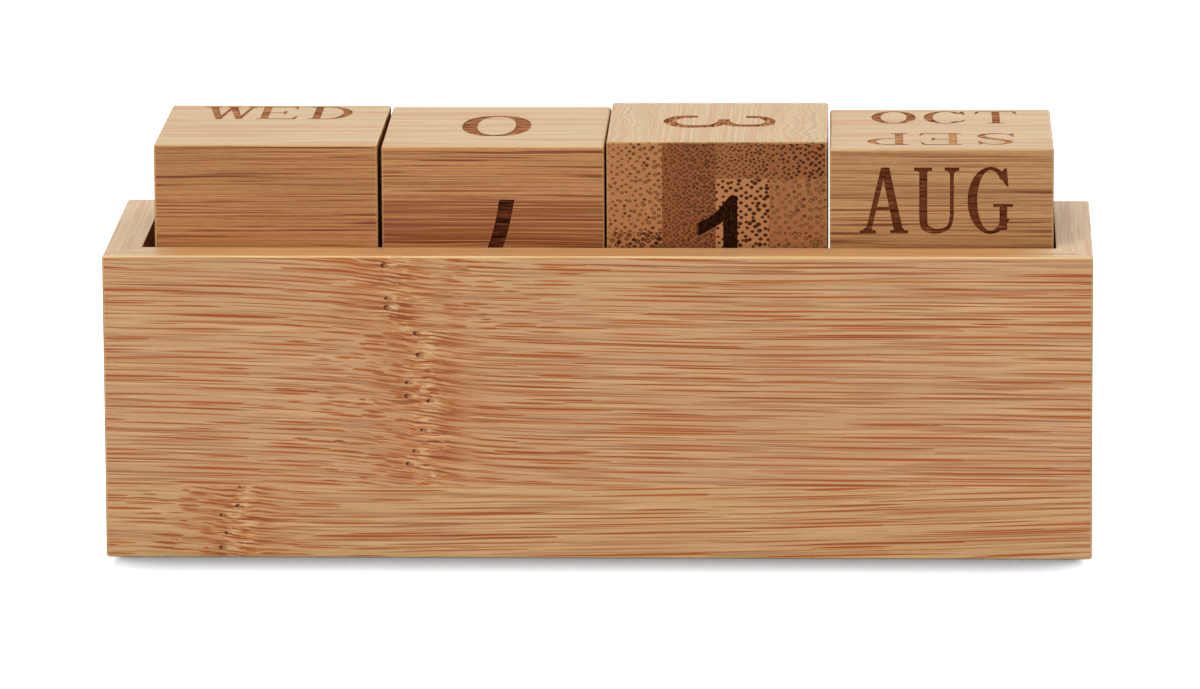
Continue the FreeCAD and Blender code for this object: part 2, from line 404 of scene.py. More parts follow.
# Painted light: colours that level faces are made paler towards, for the sheen and light they catch from
# above.
TOP_LIGHT_PALE = paint(202, 182, 139)
TOP_LIGHT_GOLD = paint(222, 170, 104)
TOP_LIGHT_WALL = paint(214, 192, 152)
TOP_HAIR = paint(196, 146, 102)
SMOULDER = paint(198, 138, 94)
SCORCH = paint(108, 56, 34)
CHAR = paint(26, 12, 7)
print("pith as linear numbers:", [round(part, 3) for part in STRAW])

# %% [markdown]
# A finish is a list of choices, and most boards make the same ones. So the usual choices stand in one table,
# and a board names only those that differ.

# %% The usual look
LOOK = {
    "run": "x",                 # axis along the fibres
    "strip": "z",               # axis across the strips
    "start": (0.0, 0.0, 0.0),   # where strips and layers are counted from
    "strip_wide": 21.4,
    "layer": 50.0,              # how deep one layer goes
    "knuckles": None,           # each strip's knuckle: place, tone from 0, straw, to 1, rosy, lean, and how
                                # far beside the knuckle its dashes are shortest
    "tones": (1.0, 1.0),        # each strip's brightness
    "reach": 32.0,              # length of a dash's cell
    "row": 1.0,                 # width of a dash's cell
    "thick": 0.15,              # half a dash's thickness
    "keep": 0.92,               # share of the cells that hold a dash
    "slant": 0.055,             # how far the fibres sway aside at a knuckle
    "dash_part": 0.9,           # strength of the dashes, and of dark lines, pale lines, streaks and flecks
    "line_part": 0.35,
    "light_part": 0.32,
    "streak_part": 0.28,
    "fleck_part": 0.16,
    "crisp_part": 0.0,          # strength of sharp dark lines
    "line_gap": 0.55,           # how far apart and how long the lines are
    "line_long": 26.0,
    "wander_part": 1.3,         # how far the fibres wander
    "swirls": None,             # how far they wander more in each layer
    "end_gap": 0.95,            # dots of a cut end: how far apart, and how large
    "end_bold": 0.24,
    "ends": None,               # or, for each layer, its joint and its two kinds of dots
    "edge_tint": None,          # colour over faces that look along the layers
    # Painted light on level faces: how much paler and calmer they are made, and towards which colour.
    "top_pale": 0.0,            # how much paler and calmer level faces are
    "top_colour": TOP_LIGHT_PALE,
    "top_lines": 0.95,          # strength of the lines on them, and how far apart they are
    "top_gap": 1.3,
    # Painted light as well: the distance beyond which level faces are made paler still.
    "end_pale": 0.0,            # beyond this distance from the middle they are paler still
    # The next value is how light the sanded edges are made: a pale gold that is partly a painted highlight.
    "rubbed": 0.5,              # how light the sanded edges are
    "bare": None,               # axis along which inward faces have no lacquer
    "burnt": False,             # whether strokes are burnt in
}
print("choices for a finish:", len(LOOK))

# %% [markdown]
# First, where a point lies: `far` along the fibres, `side` across the strips and `deep` through the layers.
# Each strip and layer has three chances of its own, and shifts its pattern by them, so the pattern breaks at
# every glue line as it does in a real board.
#
# The rows are the fibres' own course. They count through both the width and the thickness, so the lines run
# on round the edges of a board. They wander a little, and sway at a knuckle.

# %% Where a point lies
AXES = {"x": 0, "y": 1, "z": 2}
KEY_STRIP = 1.37
KEY_LAYER = 0.73
THROUGH_SHARE = 0.83
WANDER_LONG = 46.0
WANDER_WIDE = 15.0
WANDER_SHIFT = 9.0
ROW_SHIFT = 17.0
RUN_SHIFT = 61.0
SWIRL_LONG = 9.0
SWIRL_WIDE = 5.0


def lie(b, look, seed):
    """Where a point lies, and how its fibres run."""
    at = SimpleNamespace()
    place = b.node("ShaderNodeTexCoord", out="Object")
    in_mm = b.scaled(place, 1.0 / MM)
    local = b.parts(b.vector("SUBTRACT", in_mm, look.start))
    through = (AXES.keys() - {look.run, look.strip}).pop()
    at.far, at.side, at.deep = (local[AXES[axis]] for axis in (look.run, look.strip, through))
    at.mm = b.parts(in_mm)
    at.facing = b.parts(b.also(place, "Normal"))
    at.cut_facing = abs(at.facing[AXES[look.run]])
    at.layer_facing = abs(at.facing[AXES[through]])

    at.strip = b.math("FLOOR", at.side / look.strip_wide)
    at.layer = b.math("FLOOR", at.deep / look.layer)
    key = b.join(at.strip + seed * KEY_STRIP, at.layer + seed * KEY_LAYER)
    dice = b.node("ShaderNodeTexWhiteNoise", {"noise_dimensions": "2D"}, {"Vector": key}, "Color")
    at.chances = b.parts(dice)
    first, second, third = at.chances
    wander = b.swing(at.far / WANDER_LONG + first * WANDER_SHIFT, at.side / WANDER_WIDE, 1.0)
    at.rows = at.side + at.deep * THROUGH_SHARE + wander * look.wander_part + second * ROW_SHIFT
    if look.swirls:
        swirl = b.swing(at.far / SWIRL_LONG, at.deep / SWIRL_WIDE + at.side / SWIRL_LONG)
        at.rows = at.rows + b.choose(at.layer, look.swirls) * swirl
    at.course = (at.far + first * RUN_SHIFT) / look.reach
    at.tone = third
    return at


print("a point lies by", len(AXES), "axes")

# %% [markdown]
# At a knuckle the fibres lean over in a soft S, and their dashes are short. Both come from an arctangent,
# which goes over from one level to another just there.

# %% Fibres at a knuckle
CLOSE_REACH = 11.0
LEAN_SHARE = 14.0
LEAN_LONG = 9.0
SWAY_LONG = 6.0
SWAY_WIDE = 5.0
SWAY_REACH = 7.0
SWAY_PART = 0.8
SHORT_LONG = 8.0
SHORT_PART = 2.3
SWELL_PART = 0.15


def sway(b, look, at):
    """Bends the fibres at each strip's knuckle."""
    places, tones, leans, shorts = zip(*look.knuckles)
    at.knuckle = b.choose(at.strip, places)
    at.tone = b.choose(at.strip, tones)
    at.away = at.far - at.knuckle
    at.swell = b.bell(at.away, CLOSE_REACH) * SWELL_PART + 1.0
    loose = b.swing(at.far / SWAY_LONG, at.side / SWAY_WIDE)
    turned = b.math("ARCTANGENT", at.away / LEAN_LONG) * (look.slant * LEAN_SHARE)
    at.rows = at.rows + turned + loose * b.bell(at.away, SWAY_REACH) * SWAY_PART
    at.rows = at.rows - at.away * b.choose(at.strip, leans)
    shortened = (at.away - b.choose(at.strip, shorts)) / SHORT_LONG
    at.course = at.course + b.math("ARCTANGENT", shortened) * SHORT_PART


print("knuckle course ready")

# %% [markdown]
# Thin long lines come from noise that is stretched along the fibre. Over the pith go streaks and flecks, then
# pale lines, soft warm lines and dark hair lines.

# %% Pith and long lines
HAIR_SHIFT = 90.0
HAIR_EDGES = (0.55, 0.63)
THIN_SHIFT = (70.0, 31.0)
THIN_SIZE = (0.5, 0.6)
THIN_EDGES = (0.52, 0.64)
THIN_PART = 0.5
LIGHT_SHIFT = (50.0, 57.0)
LIGHT_GAP = 1.2
LIGHT_EDGES = (0.54, 0.66)
STREAK_LONG = 30.0
STREAK_ROWS = 3.4
STREAK_SHIFT = 5.0
STREAK_DETAIL = (3.0, 0.65)
BAND_LONG = 80.0
BAND_WIDE = 3.0
FLECK_LONG = 1.6
FLECK_ROWS = 5.0
TONE_BAND = 0.8
TONE_STRIP = 0.5
TONE_EDGES = (0.25, 0.95)
RED_SHARE = 0.65
BLUE_SHARE = 1.3


def lines(b, far, rows, length, gap, edges):
    """Thin long lines from stretched noise: 1 on a line. `edges` says how hard they are."""
    return b.step(b.noise(far / length, rows / gap), *edges)


def pith(b, look, at):
    """The ground colour of the wood with its long lines."""
    first, second, third = at.chances
    long, gap = look.line_long, look.line_gap
    at.hair = lines(b, at.far + first * HAIR_SHIFT, at.rows, long, gap, HAIR_EDGES)
    at.thin = lines(b, at.far + second * THIN_SHIFT[0], at.rows + THIN_SHIFT[1],
                    long * THIN_SIZE[0], gap * THIN_SIZE[1], THIN_EDGES)
    light = lines(b, at.far + third * LIGHT_SHIFT[0], at.rows + LIGHT_SHIFT[1],
                  long, gap * LIGHT_GAP, LIGHT_EDGES)
    at.streak = b.noise(at.far / STREAK_LONG + third * STREAK_SHIFT, at.rows * STREAK_ROWS, *STREAK_DETAIL)
    at.band = b.noise(at.far / BAND_LONG + first, at.rows / BAND_WIDE, 1.0)
    fleck = b.swing(at.far / FLECK_LONG, at.rows * FLECK_ROWS, 1.0)

    tone = b.step(at.band * TONE_BAND + at.tone * TONE_STRIP, *TONE_EDGES)
    colour = b.mix(tone, STRAW, STRAW_ROSY)
    fine = ((at.streak - 0.5) * look.streak_part + 1.0) * (fleck * look.fleck_part + 1.0)
    fine = fine * b.choose(at.strip, look.tones)
    off = fine - 1.0
    colour = b.tinted(colour, b.shade(off * RED_SHARE + 1.0, fine, off * BLUE_SHARE + 1.0))
    colour = b.mix(light * look.light_part, colour, PALE)
    colour = b.mix(at.thin * (look.line_part * THIN_PART), colour, GLOW)
    return b.mix(at.hair * look.line_part, colour, HAIR)


print("pith helper ready")

# %% [markdown]
# A dash is drawn in a cell of a stretched Voronoi pattern. Each cell has a random length, thickness and
# tone for its dash, and the pattern keeps its rows fairly even, as the bundles are in a stem. Two sets of
# dashes lie over each other, so that no grid shows.

# %% Fibre dashes
ROW_JITTER = 0.8
SEED_RUN = 7.31
SEED_ROW = 3.17
SHORTEST = 0.2
THINNEST = 0.45
THICKER = 0.75
MISSING_SOFT = 0.2
GLOW_WIDE = 2.6
GLOW_SOFT = 4.0
GLOW_PART = 0.6
DASH_SOFT = 0.04
LONGEST = (0.8, 0.75)
SECOND_RUN = 1.27
SECOND_ROW = 0.83
SECOND_SHIFT = (3.3, 5.0)
SECOND_SOFT = 1.2
CLEAR_AT = 6.8
CLEAR_REACH = 1.6
CLEAR_PART = 0.7


def dashes(b, run, row, seed, thick, soft, keep, longest):
    """Lens-shaped dashes: their dark core, the warm glow round them, and each one's random shade."""
    chances, x, y, unused = b.cells(run + seed * SEED_RUN, row + seed * SEED_ROW, ROW_JITTER)
    chance, size, shade = chances
    along = x / (size * longest + SHORTEST)
    off = abs(y)
    lens = (chance * THICKER + THINNEST) * thick * (1.0 - along * along)
    there = b.step(shade, 1.0 - keep, 1.0 - keep + MISSING_SOFT)
    core = b.step(lens - off, 0.0, soft) * there
    glow = b.step(b.most(lens, 0.0) * GLOW_WIDE - off, 0.0, soft * GLOW_SOFT) * there
    return core, glow, shade


def lay_dashes(b, look, at, seed, colour):
    """Two sets of dashes over the pith."""
    size = look.thick / look.row
    size = at.swell * size if look.knuckles else size
    soft = DASH_SOFT / look.row
    core_a, glow_a, shade_a = dashes(b, at.course, at.rows / look.row, seed + 0.1,
                                     size, soft, look.keep, LONGEST[0])
    run = at.course * SECOND_RUN + SECOND_SHIFT[0]
    row = at.rows / (look.row * SECOND_ROW) + SECOND_SHIFT[1]
    core_b, glow_b, shade_b = dashes(b, run, row, seed + 0.6, size, soft * SECOND_SOFT, look.keep, LONGEST[1])
    at.core = b.most(core_a, core_b)
    glow = b.most(glow_a, glow_b)
    if look.knuckles:
        clear = 1.0 - b.bell(at.away - CLEAR_AT, CLEAR_REACH) * CLEAR_PART
        at.core = at.core * clear
        glow = glow * clear
    colour = b.mix(glow * (look.dash_part * GLOW_PART), colour, GLOW)
    return b.mix(at.core * look.dash_part, colour, b.mix(shade_a * shade_b, DASH, DASH_DARK))


print("dash helpers ready")

# %% [markdown]
# Sawn and sanded faces have a few sharp dark lines, in loose groups, each with a pale one right beside it.
# The pale one is the same pattern, read a little further across.

# %% Crisp lines
CRISP_LONG = 30.0
CRISP_GAP = 0.34
CRISP_APART = 0.2
CRISP_RUN = 77.0
CRISP_ROW = 71.0
GROUP_LONG = 24.0
GROUP_SHIFT = 3.0
GROUP_WIDE = 2.0
GROUP_EDGES = (0.4, 0.6)
CRISP_EDGES = (0.53, 0.63)
GLINT_EDGES = (0.53, 0.65)
GLINT_PART = 0.8


def lay_crisp(b, look, at, colour):
    """Sharp dark lines, each with its pale neighbour."""
    far = at.far + at.chances[2] * CRISP_RUN
    groups = b.noise(at.far / GROUP_LONG + at.chances[1] * GROUP_SHIFT, at.rows / GROUP_WIDE, 1.0)
    groups = b.step(groups, *GROUP_EDGES)
    rows = at.rows + CRISP_ROW
    crisp = lines(b, far, rows, CRISP_LONG, CRISP_GAP, CRISP_EDGES) * groups
    glint = lines(b, far, rows + CRISP_APART, CRISP_LONG, CRISP_GAP, GLINT_EDGES) * groups
    colour = b.mix(glint * (look.crisp_part * GLINT_PART), colour, PALE)
    return b.mix(crisp * look.crisp_part, colour, DASH_DARK)


print("crisp line helper ready")

# %% [markdown]
# A knuckle is a narrow band across each strip. The fibres run down through it at a slant. Round it they are
# dense and dark, in it there are crescent-shaped pores with a cream chip beside each, and after it comes a
# clear patch.

# %% The band round a knuckle
DENSE_LONG = 8.0
DENSE_GAP = 0.3
KNUCKLE_WARM = 5.6
KNUCKLE_WARM_AT = 1.7
WARM_EDGES = (0.4, 0.6)
WARM_FIBRES = 0.6
WARM_PITH = 0.4
WARM_PART = 0.75
HARD_EDGES = (0.54, 0.58)
HARD_PART = 0.95
FLAKE_LONG = 2.4
FLAKE_SHIFT = 4.0
FLAKE_GAP = 0.34
STREWN_WIDE = 2.2
STREWN_SHIFT = 3.0
STREWN_PART = 9.0
CREAM_AT = 1.6
CREAM_REACH = 2.1
CREAM_PART = 0.5


def warm_band(b, at, colour):
    """The dense warm fibres round a knuckle, and the cream flakes strewn in it."""
    dense = b.noise(at.far / DENSE_LONG, at.rows / DENSE_GAP, 1.0)
    band = b.bell(at.away - KNUCKLE_WARM_AT, KNUCKLE_WARM)
    warm = band * (b.step(dense, *WARM_EDGES) * WARM_FIBRES + WARM_PITH)
    colour = b.mix(warm * WARM_PART, colour, GLOW)
    colour = b.mix(band * b.step(dense, *HARD_EDGES) * HARD_PART, colour, KNOT)
    flakes = b.noise(at.far / FLAKE_LONG + FLAKE_SHIFT, at.rows / FLAKE_GAP)
    strewn = b.swing(at.side / STREWN_WIDE, STREWN_SHIFT) * STREWN_PART
    cream = b.bell(at.away - CREAM_AT + strewn, CREAM_REACH) * b.step(flakes, *HARD_EDGES)
    return b.mix(cream * CREAM_PART, colour, CREAM)


print("knuckle band helper ready")

# %% [markdown]
# A pore is drawn in its cell from three ovals: a round pit, a thin tail to one side, and a light floor that
# leaves only a dark crescent. A cream chip lies just beside it.

# %% Pores
PORE_STEP = 2.9
PORE_JITTER = 0.85
PORE_ZONE = (2.2, 0.2)
PORE_CHANCE = (0.1, 0.15)
PORE_SIZE = (0.14, 0.24)
PIT_FLAT = 0.55
PIT_SOFT = 0.1
PIT_PART = 0.92
TAIL_RIGHT = 0.45
TAIL_DOWN = 0.12
TAIL_FLAT = (0.3, 3.0)
TAIL_WIDE = 0.24
TAIL_SOFT = 0.16
TAIL_PART = 0.7
FLOOR_RIGHT = 0.24
FLOOR_DOWN = 0.03
FLOOR_FLAT = 0.5
FLOOR_WIDE = 0.6
FLOOR_SOFT = 0.08
FLOOR_PART = 0.75
CHIP_AT = (1.1, 0.05)
CHIP_REACH = (0.5, 0.24)
CHIP_PART = 0.45


def square(value):
    """A value times itself."""
    return value * value


def pores(b, at, seed, colour):
    """Lays the pores of a knuckle over the colour. Gives the new colour and the pores."""
    chances, x, y, middle = b.cells(at.far / PORE_STEP + seed, at.side / PORE_STEP + seed * 2.0, PORE_JITTER)
    chance, size, unused = chances
    x = x * PORE_STEP
    y = y * PORE_STEP
    beside = abs((middle - seed) * PORE_STEP - at.knuckle)
    near = b.step(PORE_ZONE[0] - beside, 0.0, PORE_ZONE[1]) * b.step(chance, *PORE_CHANCE)
    wide = size * PORE_SIZE[0] + PORE_SIZE[1]
    pit = b.step(wide - b.root(x * x * PIT_FLAT + y * y), 0.0, PIT_SOFT)
    tail_off = b.root(square(x - TAIL_RIGHT) * TAIL_FLAT[0] + square(y + TAIL_DOWN) * TAIL_FLAT[1])
    tail = b.step(TAIL_WIDE - tail_off, 0.0, TAIL_SOFT)
    pore = b.most(pit, tail * TAIL_PART) * near
    chip = b.bell(x - CHIP_AT[0], CHIP_REACH[0]) * b.bell(y - CHIP_AT[1], CHIP_REACH[1]) * near
    colour = b.mix(chip * CHIP_PART, colour, CREAM)
    colour = b.mix(pore * PIT_PART, colour, PIT)
    floor_off = b.root(square(x - FLOOR_RIGHT) * FLOOR_FLAT + square(y + FLOOR_DOWN))
    floor_seen = b.step(wide * FLOOR_WIDE - floor_off, 0.0, FLOOR_SOFT) * near * FLOOR_PART
    return b.mix(floor_seen, colour, END_HEART), pore


print("pore helper ready")

# %% [markdown]
# Where two strips are glued there is a thin pale line. The narrow faces of a block, which look along its
# layers, are darker. Level faces are painted paler and calmer, as painted light for the sheen they catch.

# %% Glue, narrow faces and level faces
GLUE_LINE = 0.12
GLUE_PART = 0.3
NARROW_EDGES = (0.3, 0.9)
NARROW_BANDS = 0.6
NARROW_SHARES = (0.8, 1.2)
LEVEL_EDGES = (0.6, 0.95)
TOP_LINE_EDGES = (0.5, 0.64)
TOP_THIN_PART = 0.6
TOP_LINE_LONG = 40.0
TOP_RUN = 40.0
TOP_ROW = 13.0
WALL_EASE = 0.88
WALL_LIGHT_PART = 0.3


def lay_faces(b, look, at, colour):
    """What depends on glue lines and on the way a face looks."""
    from_glue = at.side - (at.strip + 0.5) * look.strip_wide
    glued = b.bell(look.strip_wide / 2 - abs(from_glue), GLUE_LINE)
    colour = b.mix(glued * GLUE_PART, colour, PALE)
    if look.edge_tint:
        depth = (at.band - 0.5) * NARROW_BANDS
        deeper = b.shade(depth * NARROW_SHARES[0] + 1.0, depth + 1.0, depth * NARROW_SHARES[1] + 1.0)
        darker = b.tinted(b.tinted(colour, look.edge_tint), deeper)
        colour = b.mix(b.step(at.layer_facing, *NARROW_EDGES), colour, darker)
    # Painted light: level faces are mixed towards a paler colour for the sheen and light they catch, and more
    # so beyond a distance along the fibres when asked.
    if look.top_pale:
        level_face = b.step(abs(at.facing[AXES["z"]]), *LEVEL_EDGES)
        top_colour, top_pale = look.top_colour, look.top_pale
        if look.end_pale:
            towards_end = b.step(abs(at.far), look.end_pale * WALL_EASE, look.end_pale)
            top_colour = b.mix(towards_end, top_colour, TOP_LIGHT_WALL)
            top_pale = towards_end * WALL_LIGHT_PART + top_pale
        colour = b.mix(level_face * top_pale, colour, top_colour)
        broad = lines(b, at.far + at.chances[0] * TOP_RUN, at.rows + TOP_ROW,
                      TOP_LINE_LONG, look.top_gap, TOP_LINE_EDGES)
        calm = level_face * b.most(broad, at.thin * TOP_THIN_PART) * look.top_lines
        colour = b.mix(calm, colour, TOP_HAIR)
    return colour


print("face helper ready")

# %% [markdown]
# On the cut ends, each bundle shows as a dark dot, often with a light heart. The dots stand in staggered
# rows, so the cells are turned by an eighth of a turn, and the way from a cell's middle is turned back.

# %% Dots of cut bundles
STAGGER_RISE = 1.25
STAGGER_JITTER = 0.62
STAGGER_ACROSS = 5.7
STAGGER_THROUGH = 9.1
DOT_SIDE = 0.47
DOT_RISE = 0.43
DOT_ROUND = 0.6
DOT_SQUARE = 0.34
DOT_SLANT = 0.8
DOT_SIZE = (0.35, 0.8)
DOT_SOFT = 0.07
HEART_SIZE = 0.55
HEART_SOFT = 0.06
HEART_CHANCE = (0.1, 0.4)


def end_dots(b, across, through, gap, bold, seed):
    """Dark dots of cut fibre bundles, and the pale heart of each."""
    level = across / gap + seed * STAGGER_ACROSS
    rise = through / gap * STAGGER_RISE + seed * STAGGER_THROUGH
    (chance, size, unused), one, two, unused = b.cells(level + rise, rise - level, STAGGER_JITTER)
    side = abs(one - two) * DOT_SIDE
    rise = abs(one + two) * DOT_RISE
    reach = b.root(side * side + rise * rise) * DOT_ROUND + (side * DOT_SLANT + rise) * DOT_SQUARE
    radius = (size * DOT_SIZE[0] + DOT_SIZE[1]) * bold
    dot = b.step(radius - reach, 0.0, DOT_SOFT)
    heart = b.step(radius * HEART_SIZE - reach, 0.0, HEART_SOFT) * b.step(chance, *HEART_CHANCE)
    return dot, heart


print("a dot's radius is", DOT_SIZE[1], "to", sum(DOT_SIZE), "of its boldness")

# %% [markdown]
# A block may say for each of its glued layers how high its joint is, and what kind of dots lie below and
# above that joint: how dark the wood is, how far apart and how large the dots are, how plain their hearts,
# and how black they are. Other pieces take all that from their chances.

# %% Cut ends
END_TONE = (0.5, 0.3, 0.05)
END_GROWTH = (0.3, 0.87)
END_EYE = 0.7
END_INK = 0.85
FIGURE_SCALE = 1.4
FIGURE_DETAIL = (3.0, 0.6)
FIGURE_PART = 0.5


def end_grain(b, look, at, seed, colour):
    """Lays the cut ends over the colour. Gives the new colour and the dots."""
    within = at.deep / look.layer - at.layer
    rises, by_chance, less = END_TONE
    tone = b.math("MULTIPLY_ADD", within, rises, (at.chances[1] + at.chances[2]) * by_chance - less)
    gap, bold, eye, ink = look.end_gap, look.end_bold, END_EYE, END_INK
    if look.ends:
        joints, lower, upper = zip(*look.ends)
        above = b.math("GREATER_THAN", at.side, b.choose(at.layer, joints))
        kinds = []
        for below, over in zip(zip(*lower), zip(*upper)):
            first = b.choose(at.layer, below)
            kinds.append(above * (b.choose(at.layer, over) - first) + first)
        tone, gap, bold, eye, ink = kinds
    bold = bold * b.math("MULTIPLY_ADD", within, *END_GROWTH)
    spots, hearts = end_dots(b, at.deep, at.side, gap, bold, seed + 0.4)
    figure = b.swing(at.deep * FIGURE_SCALE, at.side * FIGURE_SCALE, *FIGURE_DETAIL)
    end = b.mix(tone + figure * FIGURE_PART, END_PALE, END_DARK)
    end = b.mix(spots * ink, end, END_DOT)
    end = b.mix(hearts * eye, end, END_HEART)
    return b.mix(at.cut, colour, end), spots


print("end grain helper ready")

# %% [markdown]
# The laser leaves a matt brown floor that follows the grain: harder fibres char first. How hard it burnt is
# stored at the points of the engraved strokes, and an Attribute node reads it.

# %% Burns
SPECKLE_SCALE = 3.0
STRIPE_LONG = 6.0
STRIPE_ROWS = 2.3
STRIPE_DETAIL = (3.0, 0.8)
STRIPE_PART = 2.0
SPECKLE_DETAIL = (2.0, 0.7)
SPECKLE_PART = 1.4
GRAIN_SHARE = 1.4
GRAIN_FADES = 0.72
SCORCH_EDGES = (0.2, 0.8)
CHAR_EDGES = (0.8, 1.35)
BURN_EDGES = (0.0, 0.2)
REACH_EDGES = (-0.2, 0.3)


def burn_marks(b, at, colour):
    """Darkens the engraved strokes along the grain. Gives the new colour and the burn itself."""
    speckle = b.swing(at.deep * SPECKLE_SCALE, at.side * SPECKLE_SCALE, *SPECKLE_DETAIL)
    stripe = b.swing(at.far / STRIPE_LONG, at.rows * STRIPE_ROWS, *STRIPE_DETAIL)
    grain = stripe * STRIPE_PART * (1.0 - at.cut) + speckle * SPECKLE_PART * at.cut
    burn = b.node("ShaderNodeAttribute", {"attribute_name": "burn"}, {}, "Fac")
    strength = burn + grain * (GRAIN_SHARE - burn * GRAIN_FADES)
    scorched = b.mix(b.step(strength, *SCORCH_EDGES), SMOULDER, SCORCH)
    scorched = b.mix(b.step(strength, *CHAR_EDGES), scorched, CHAR)
    burnt = b.step(burn, *BURN_EDGES) * b.step(strength, *REACH_EDGES)
    return b.mix(burnt, colour, scorched), burn


print("burn helper ready")

# %% [markdown]
# Now the whole finish, one layer of colour over the other. Lacquer gives the outside its satin. Burnt wood,
# cut ends and the bare inner faces have next to none, so there a second, matt shader takes over.

# %% Bamboo finish
SATIN = 0.42
SATIN_IOR = 1.47
GLOSS_LEVEL = 0.36
BUMP_DEEP = 0.00012
BUMP_PART = 0.3
STREAK_HIGH = 0.35
CORE_LOW = 0.5
HAIR_LOW = 0.15
PORE_LOW = 2.0
DOT_LOW = 0.4
CORE_ROUGH = 0.08
PORE_ROUGH = 0.5
CUT_ROUGH = 0.2
CUT_EDGES = (0.62, 0.82)
CUT_MATT = 0.85
CORNER_EDGES = (0.1, 0.5)
BARE_EDGES = (1.0, 2.0)
MATT_EDGES = (0.0, 0.3)


def bamboo(name, seed, **changes):
    """A bamboo finish: the usual look with some changes. Sizes are in millimetres."""
    look = SimpleNamespace(**(LOOK | changes))
    finish = bpy.data.materials.new(name)
    b = open_bench(finish)
    at = lie(b, look, seed)
    if look.knuckles:
        sway(b, look, at)
    colour = lay_dashes(b, look, at, seed, pith(b, look, at))
    if look.crisp_part:
        colour = lay_crisp(b, look, at, colour)
    height = at.streak * STREAK_HIGH - at.core * CORE_LOW - at.hair * HAIR_LOW
    rough = SATIN + at.core * CORE_ROUGH
    if look.knuckles:
        colour, pore = pores(b, at, seed, warm_band(b, at, colour))
        height = height - pore * PORE_LOW
        rough = rough + pore * PORE_ROUGH
    colour = lay_faces(b, look, at, colour)

    at.cut = b.step(at.cut_facing, *CUT_EDGES)
    colour, spots = end_grain(b, look, at, seed, colour)
    height = height * (1.0 - at.cut) - spots * at.cut * DOT_LOW
    rough = rough + at.cut * CUT_ROUGH
    # Painted highlight: on the rounded edges, where the normal leans between axes, the colour turns pale
    # gold, partly for the sanding and partly for the light the edges catch.
    x, y, z = at.facing
    edge = b.step(1.0 - (x ** 4.0 + y ** 4.0 + z ** 4.0), *CORNER_EDGES)
    colour = b.mix(edge * look.rubbed, colour, EDGE_HIGHLIGHT_GOLD)

    matt_part = None
    if look.bare:
        inwards = -(at.mm[AXES[look.bare]] * at.facing[AXES[look.bare]])
        matt_part = b.step(inwards, *BARE_EDGES)
    if look.burnt:
        colour, burn = burn_marks(b, at, colour)
        matt_part = b.most(b.step(burn, *MATT_EDGES), at.cut * CUT_MATT)
    bump = b.node("ShaderNodeBump", {}, {"Strength": BUMP_PART, "Distance": BUMP_DEEP, "Height": height})
    satin = {"Roughness": rough, "IOR": SATIN_IOR, "Specular IOR Level": GLOSS_LEVEL}
    bare = {"Roughness": 1.0, "Specular IOR Level": 0.0}
    shared = {"Base Color": colour, "Normal": bump}
    wood = b.node("ShaderNodeBsdfPrincipled", {}, shared | satin)
    if matt_part:
        matt_wood = b.node("ShaderNodeBsdfPrincipled", {}, shared | bare)
        wood = b.node("ShaderNodeMixShader", {}, {0: matt_part, 1: wood, 2: matt_wood})
    b.node("ShaderNodeOutputMaterial", {}, {"Surface": wood})
    print(name, "has", len(finish.node_tree.nodes), "nodes")
    return finish


# %% [markdown]
# ## The boards
#
# Every board of the case is a plain box whose edges were eased with sandpaper. The back board and the end
# walls meet in mitres, so their ends are cut at a slant. All that follows one rule, so one geometry tree
# makes them all: it spreads a grid over a box, with lines close together near the edges, slants the mitred
# end, and pulls every edge in to a small radius. A board only differs in its numbers.

# %% Inputs of the board tree
BOARD_INPUTS = {
    "Low": "Vector", "High": "Vector", "Round Low": "Vector", "Round High": "Vector",
    "Ease": "Float", "Spacing": "Float", "End Cut": "Float", "Corner Cut": "Float",
    "Wear": "Float", "Seed": "Float", "Finish": "Material",
}

board_tree = bpy.data.node_groups.new("eased_board", "GeometryNodeTree")
for name, kind in BOARD_INPUTS.items():
    board_tree.interface.new_socket(name, in_out="INPUT", socket_type="NodeSocket" + kind)
board_tree.interface.new_socket("Board", in_out="OUTPUT", socket_type="NodeSocketGeometry")
g = Bench(board_tree)
given = {name: g.node("NodeGroupInput", out=name) for name in BOARD_INPUTS}
print("inputs of a board:", ", ".join(given))

# %% [markdown]
# The grid starts as a cube with evenly spaced lines. Along each axis the first and the last four steps are
# squeezed into the rounding, and the others spread evenly over the rest. Three Map Range nodes do that, one
# for each stretch, and each of them stands still outside its own.

# %% Grid over a box
EDGE_LINES = 4


def moved(value, *ends):
    """A value taken from one range to another: from low, from high, to low, to high."""
    return g.node("ShaderNodeMapRange", {}, dict(enumerate((value,) + ends)))


low = g.parts(given["Low"])
high = g.parts(given["High"])
ease = given["Ease"]
middles = [g.math("CEIL", (h - l) / given["Spacing"]) for l, h in zip(low, high)]
counts = {"Vertices " + axis: m + (2 * EDGE_LINES + 1) for axis, m in zip("XYZ", middles)}
grid = g.node("GeometryNodeMeshCube", {}, counts)
spread = []
for at, l, h, m in zip(g.parts(g.node("GeometryNodeInputPosition")), low, high, middles):
    line = (at + 0.5) * (m + 2 * EDGE_LINES)
    first_part = moved(line, 0.0, float(EDGE_LINES), l, l + ease)
    middle_part = moved(line, float(EDGE_LINES), m + EDGE_LINES, l + ease, h - ease)
    last_part = moved(line, m + EDGE_LINES, m + 2 * EDGE_LINES, h - ease, h)
    spread.append(first_part + middle_part + last_part - (l + h))
print("grid over a box:", len(board_tree.nodes), "nodes so far")

# %% [markdown]
# Then come the slanted ends, and the easing: what sticks out of an inner box is pulled in to a radius round
# it. A little noise takes off more in some places than in others, as a sanding block does.

# %% Slanted and eased
WEAR_SCALE = 420.0
WEAR_DETAIL = 2.0
NEXT_TO_NOTHING = 1e-7
ON_EDGE = (1.02, 1.2)

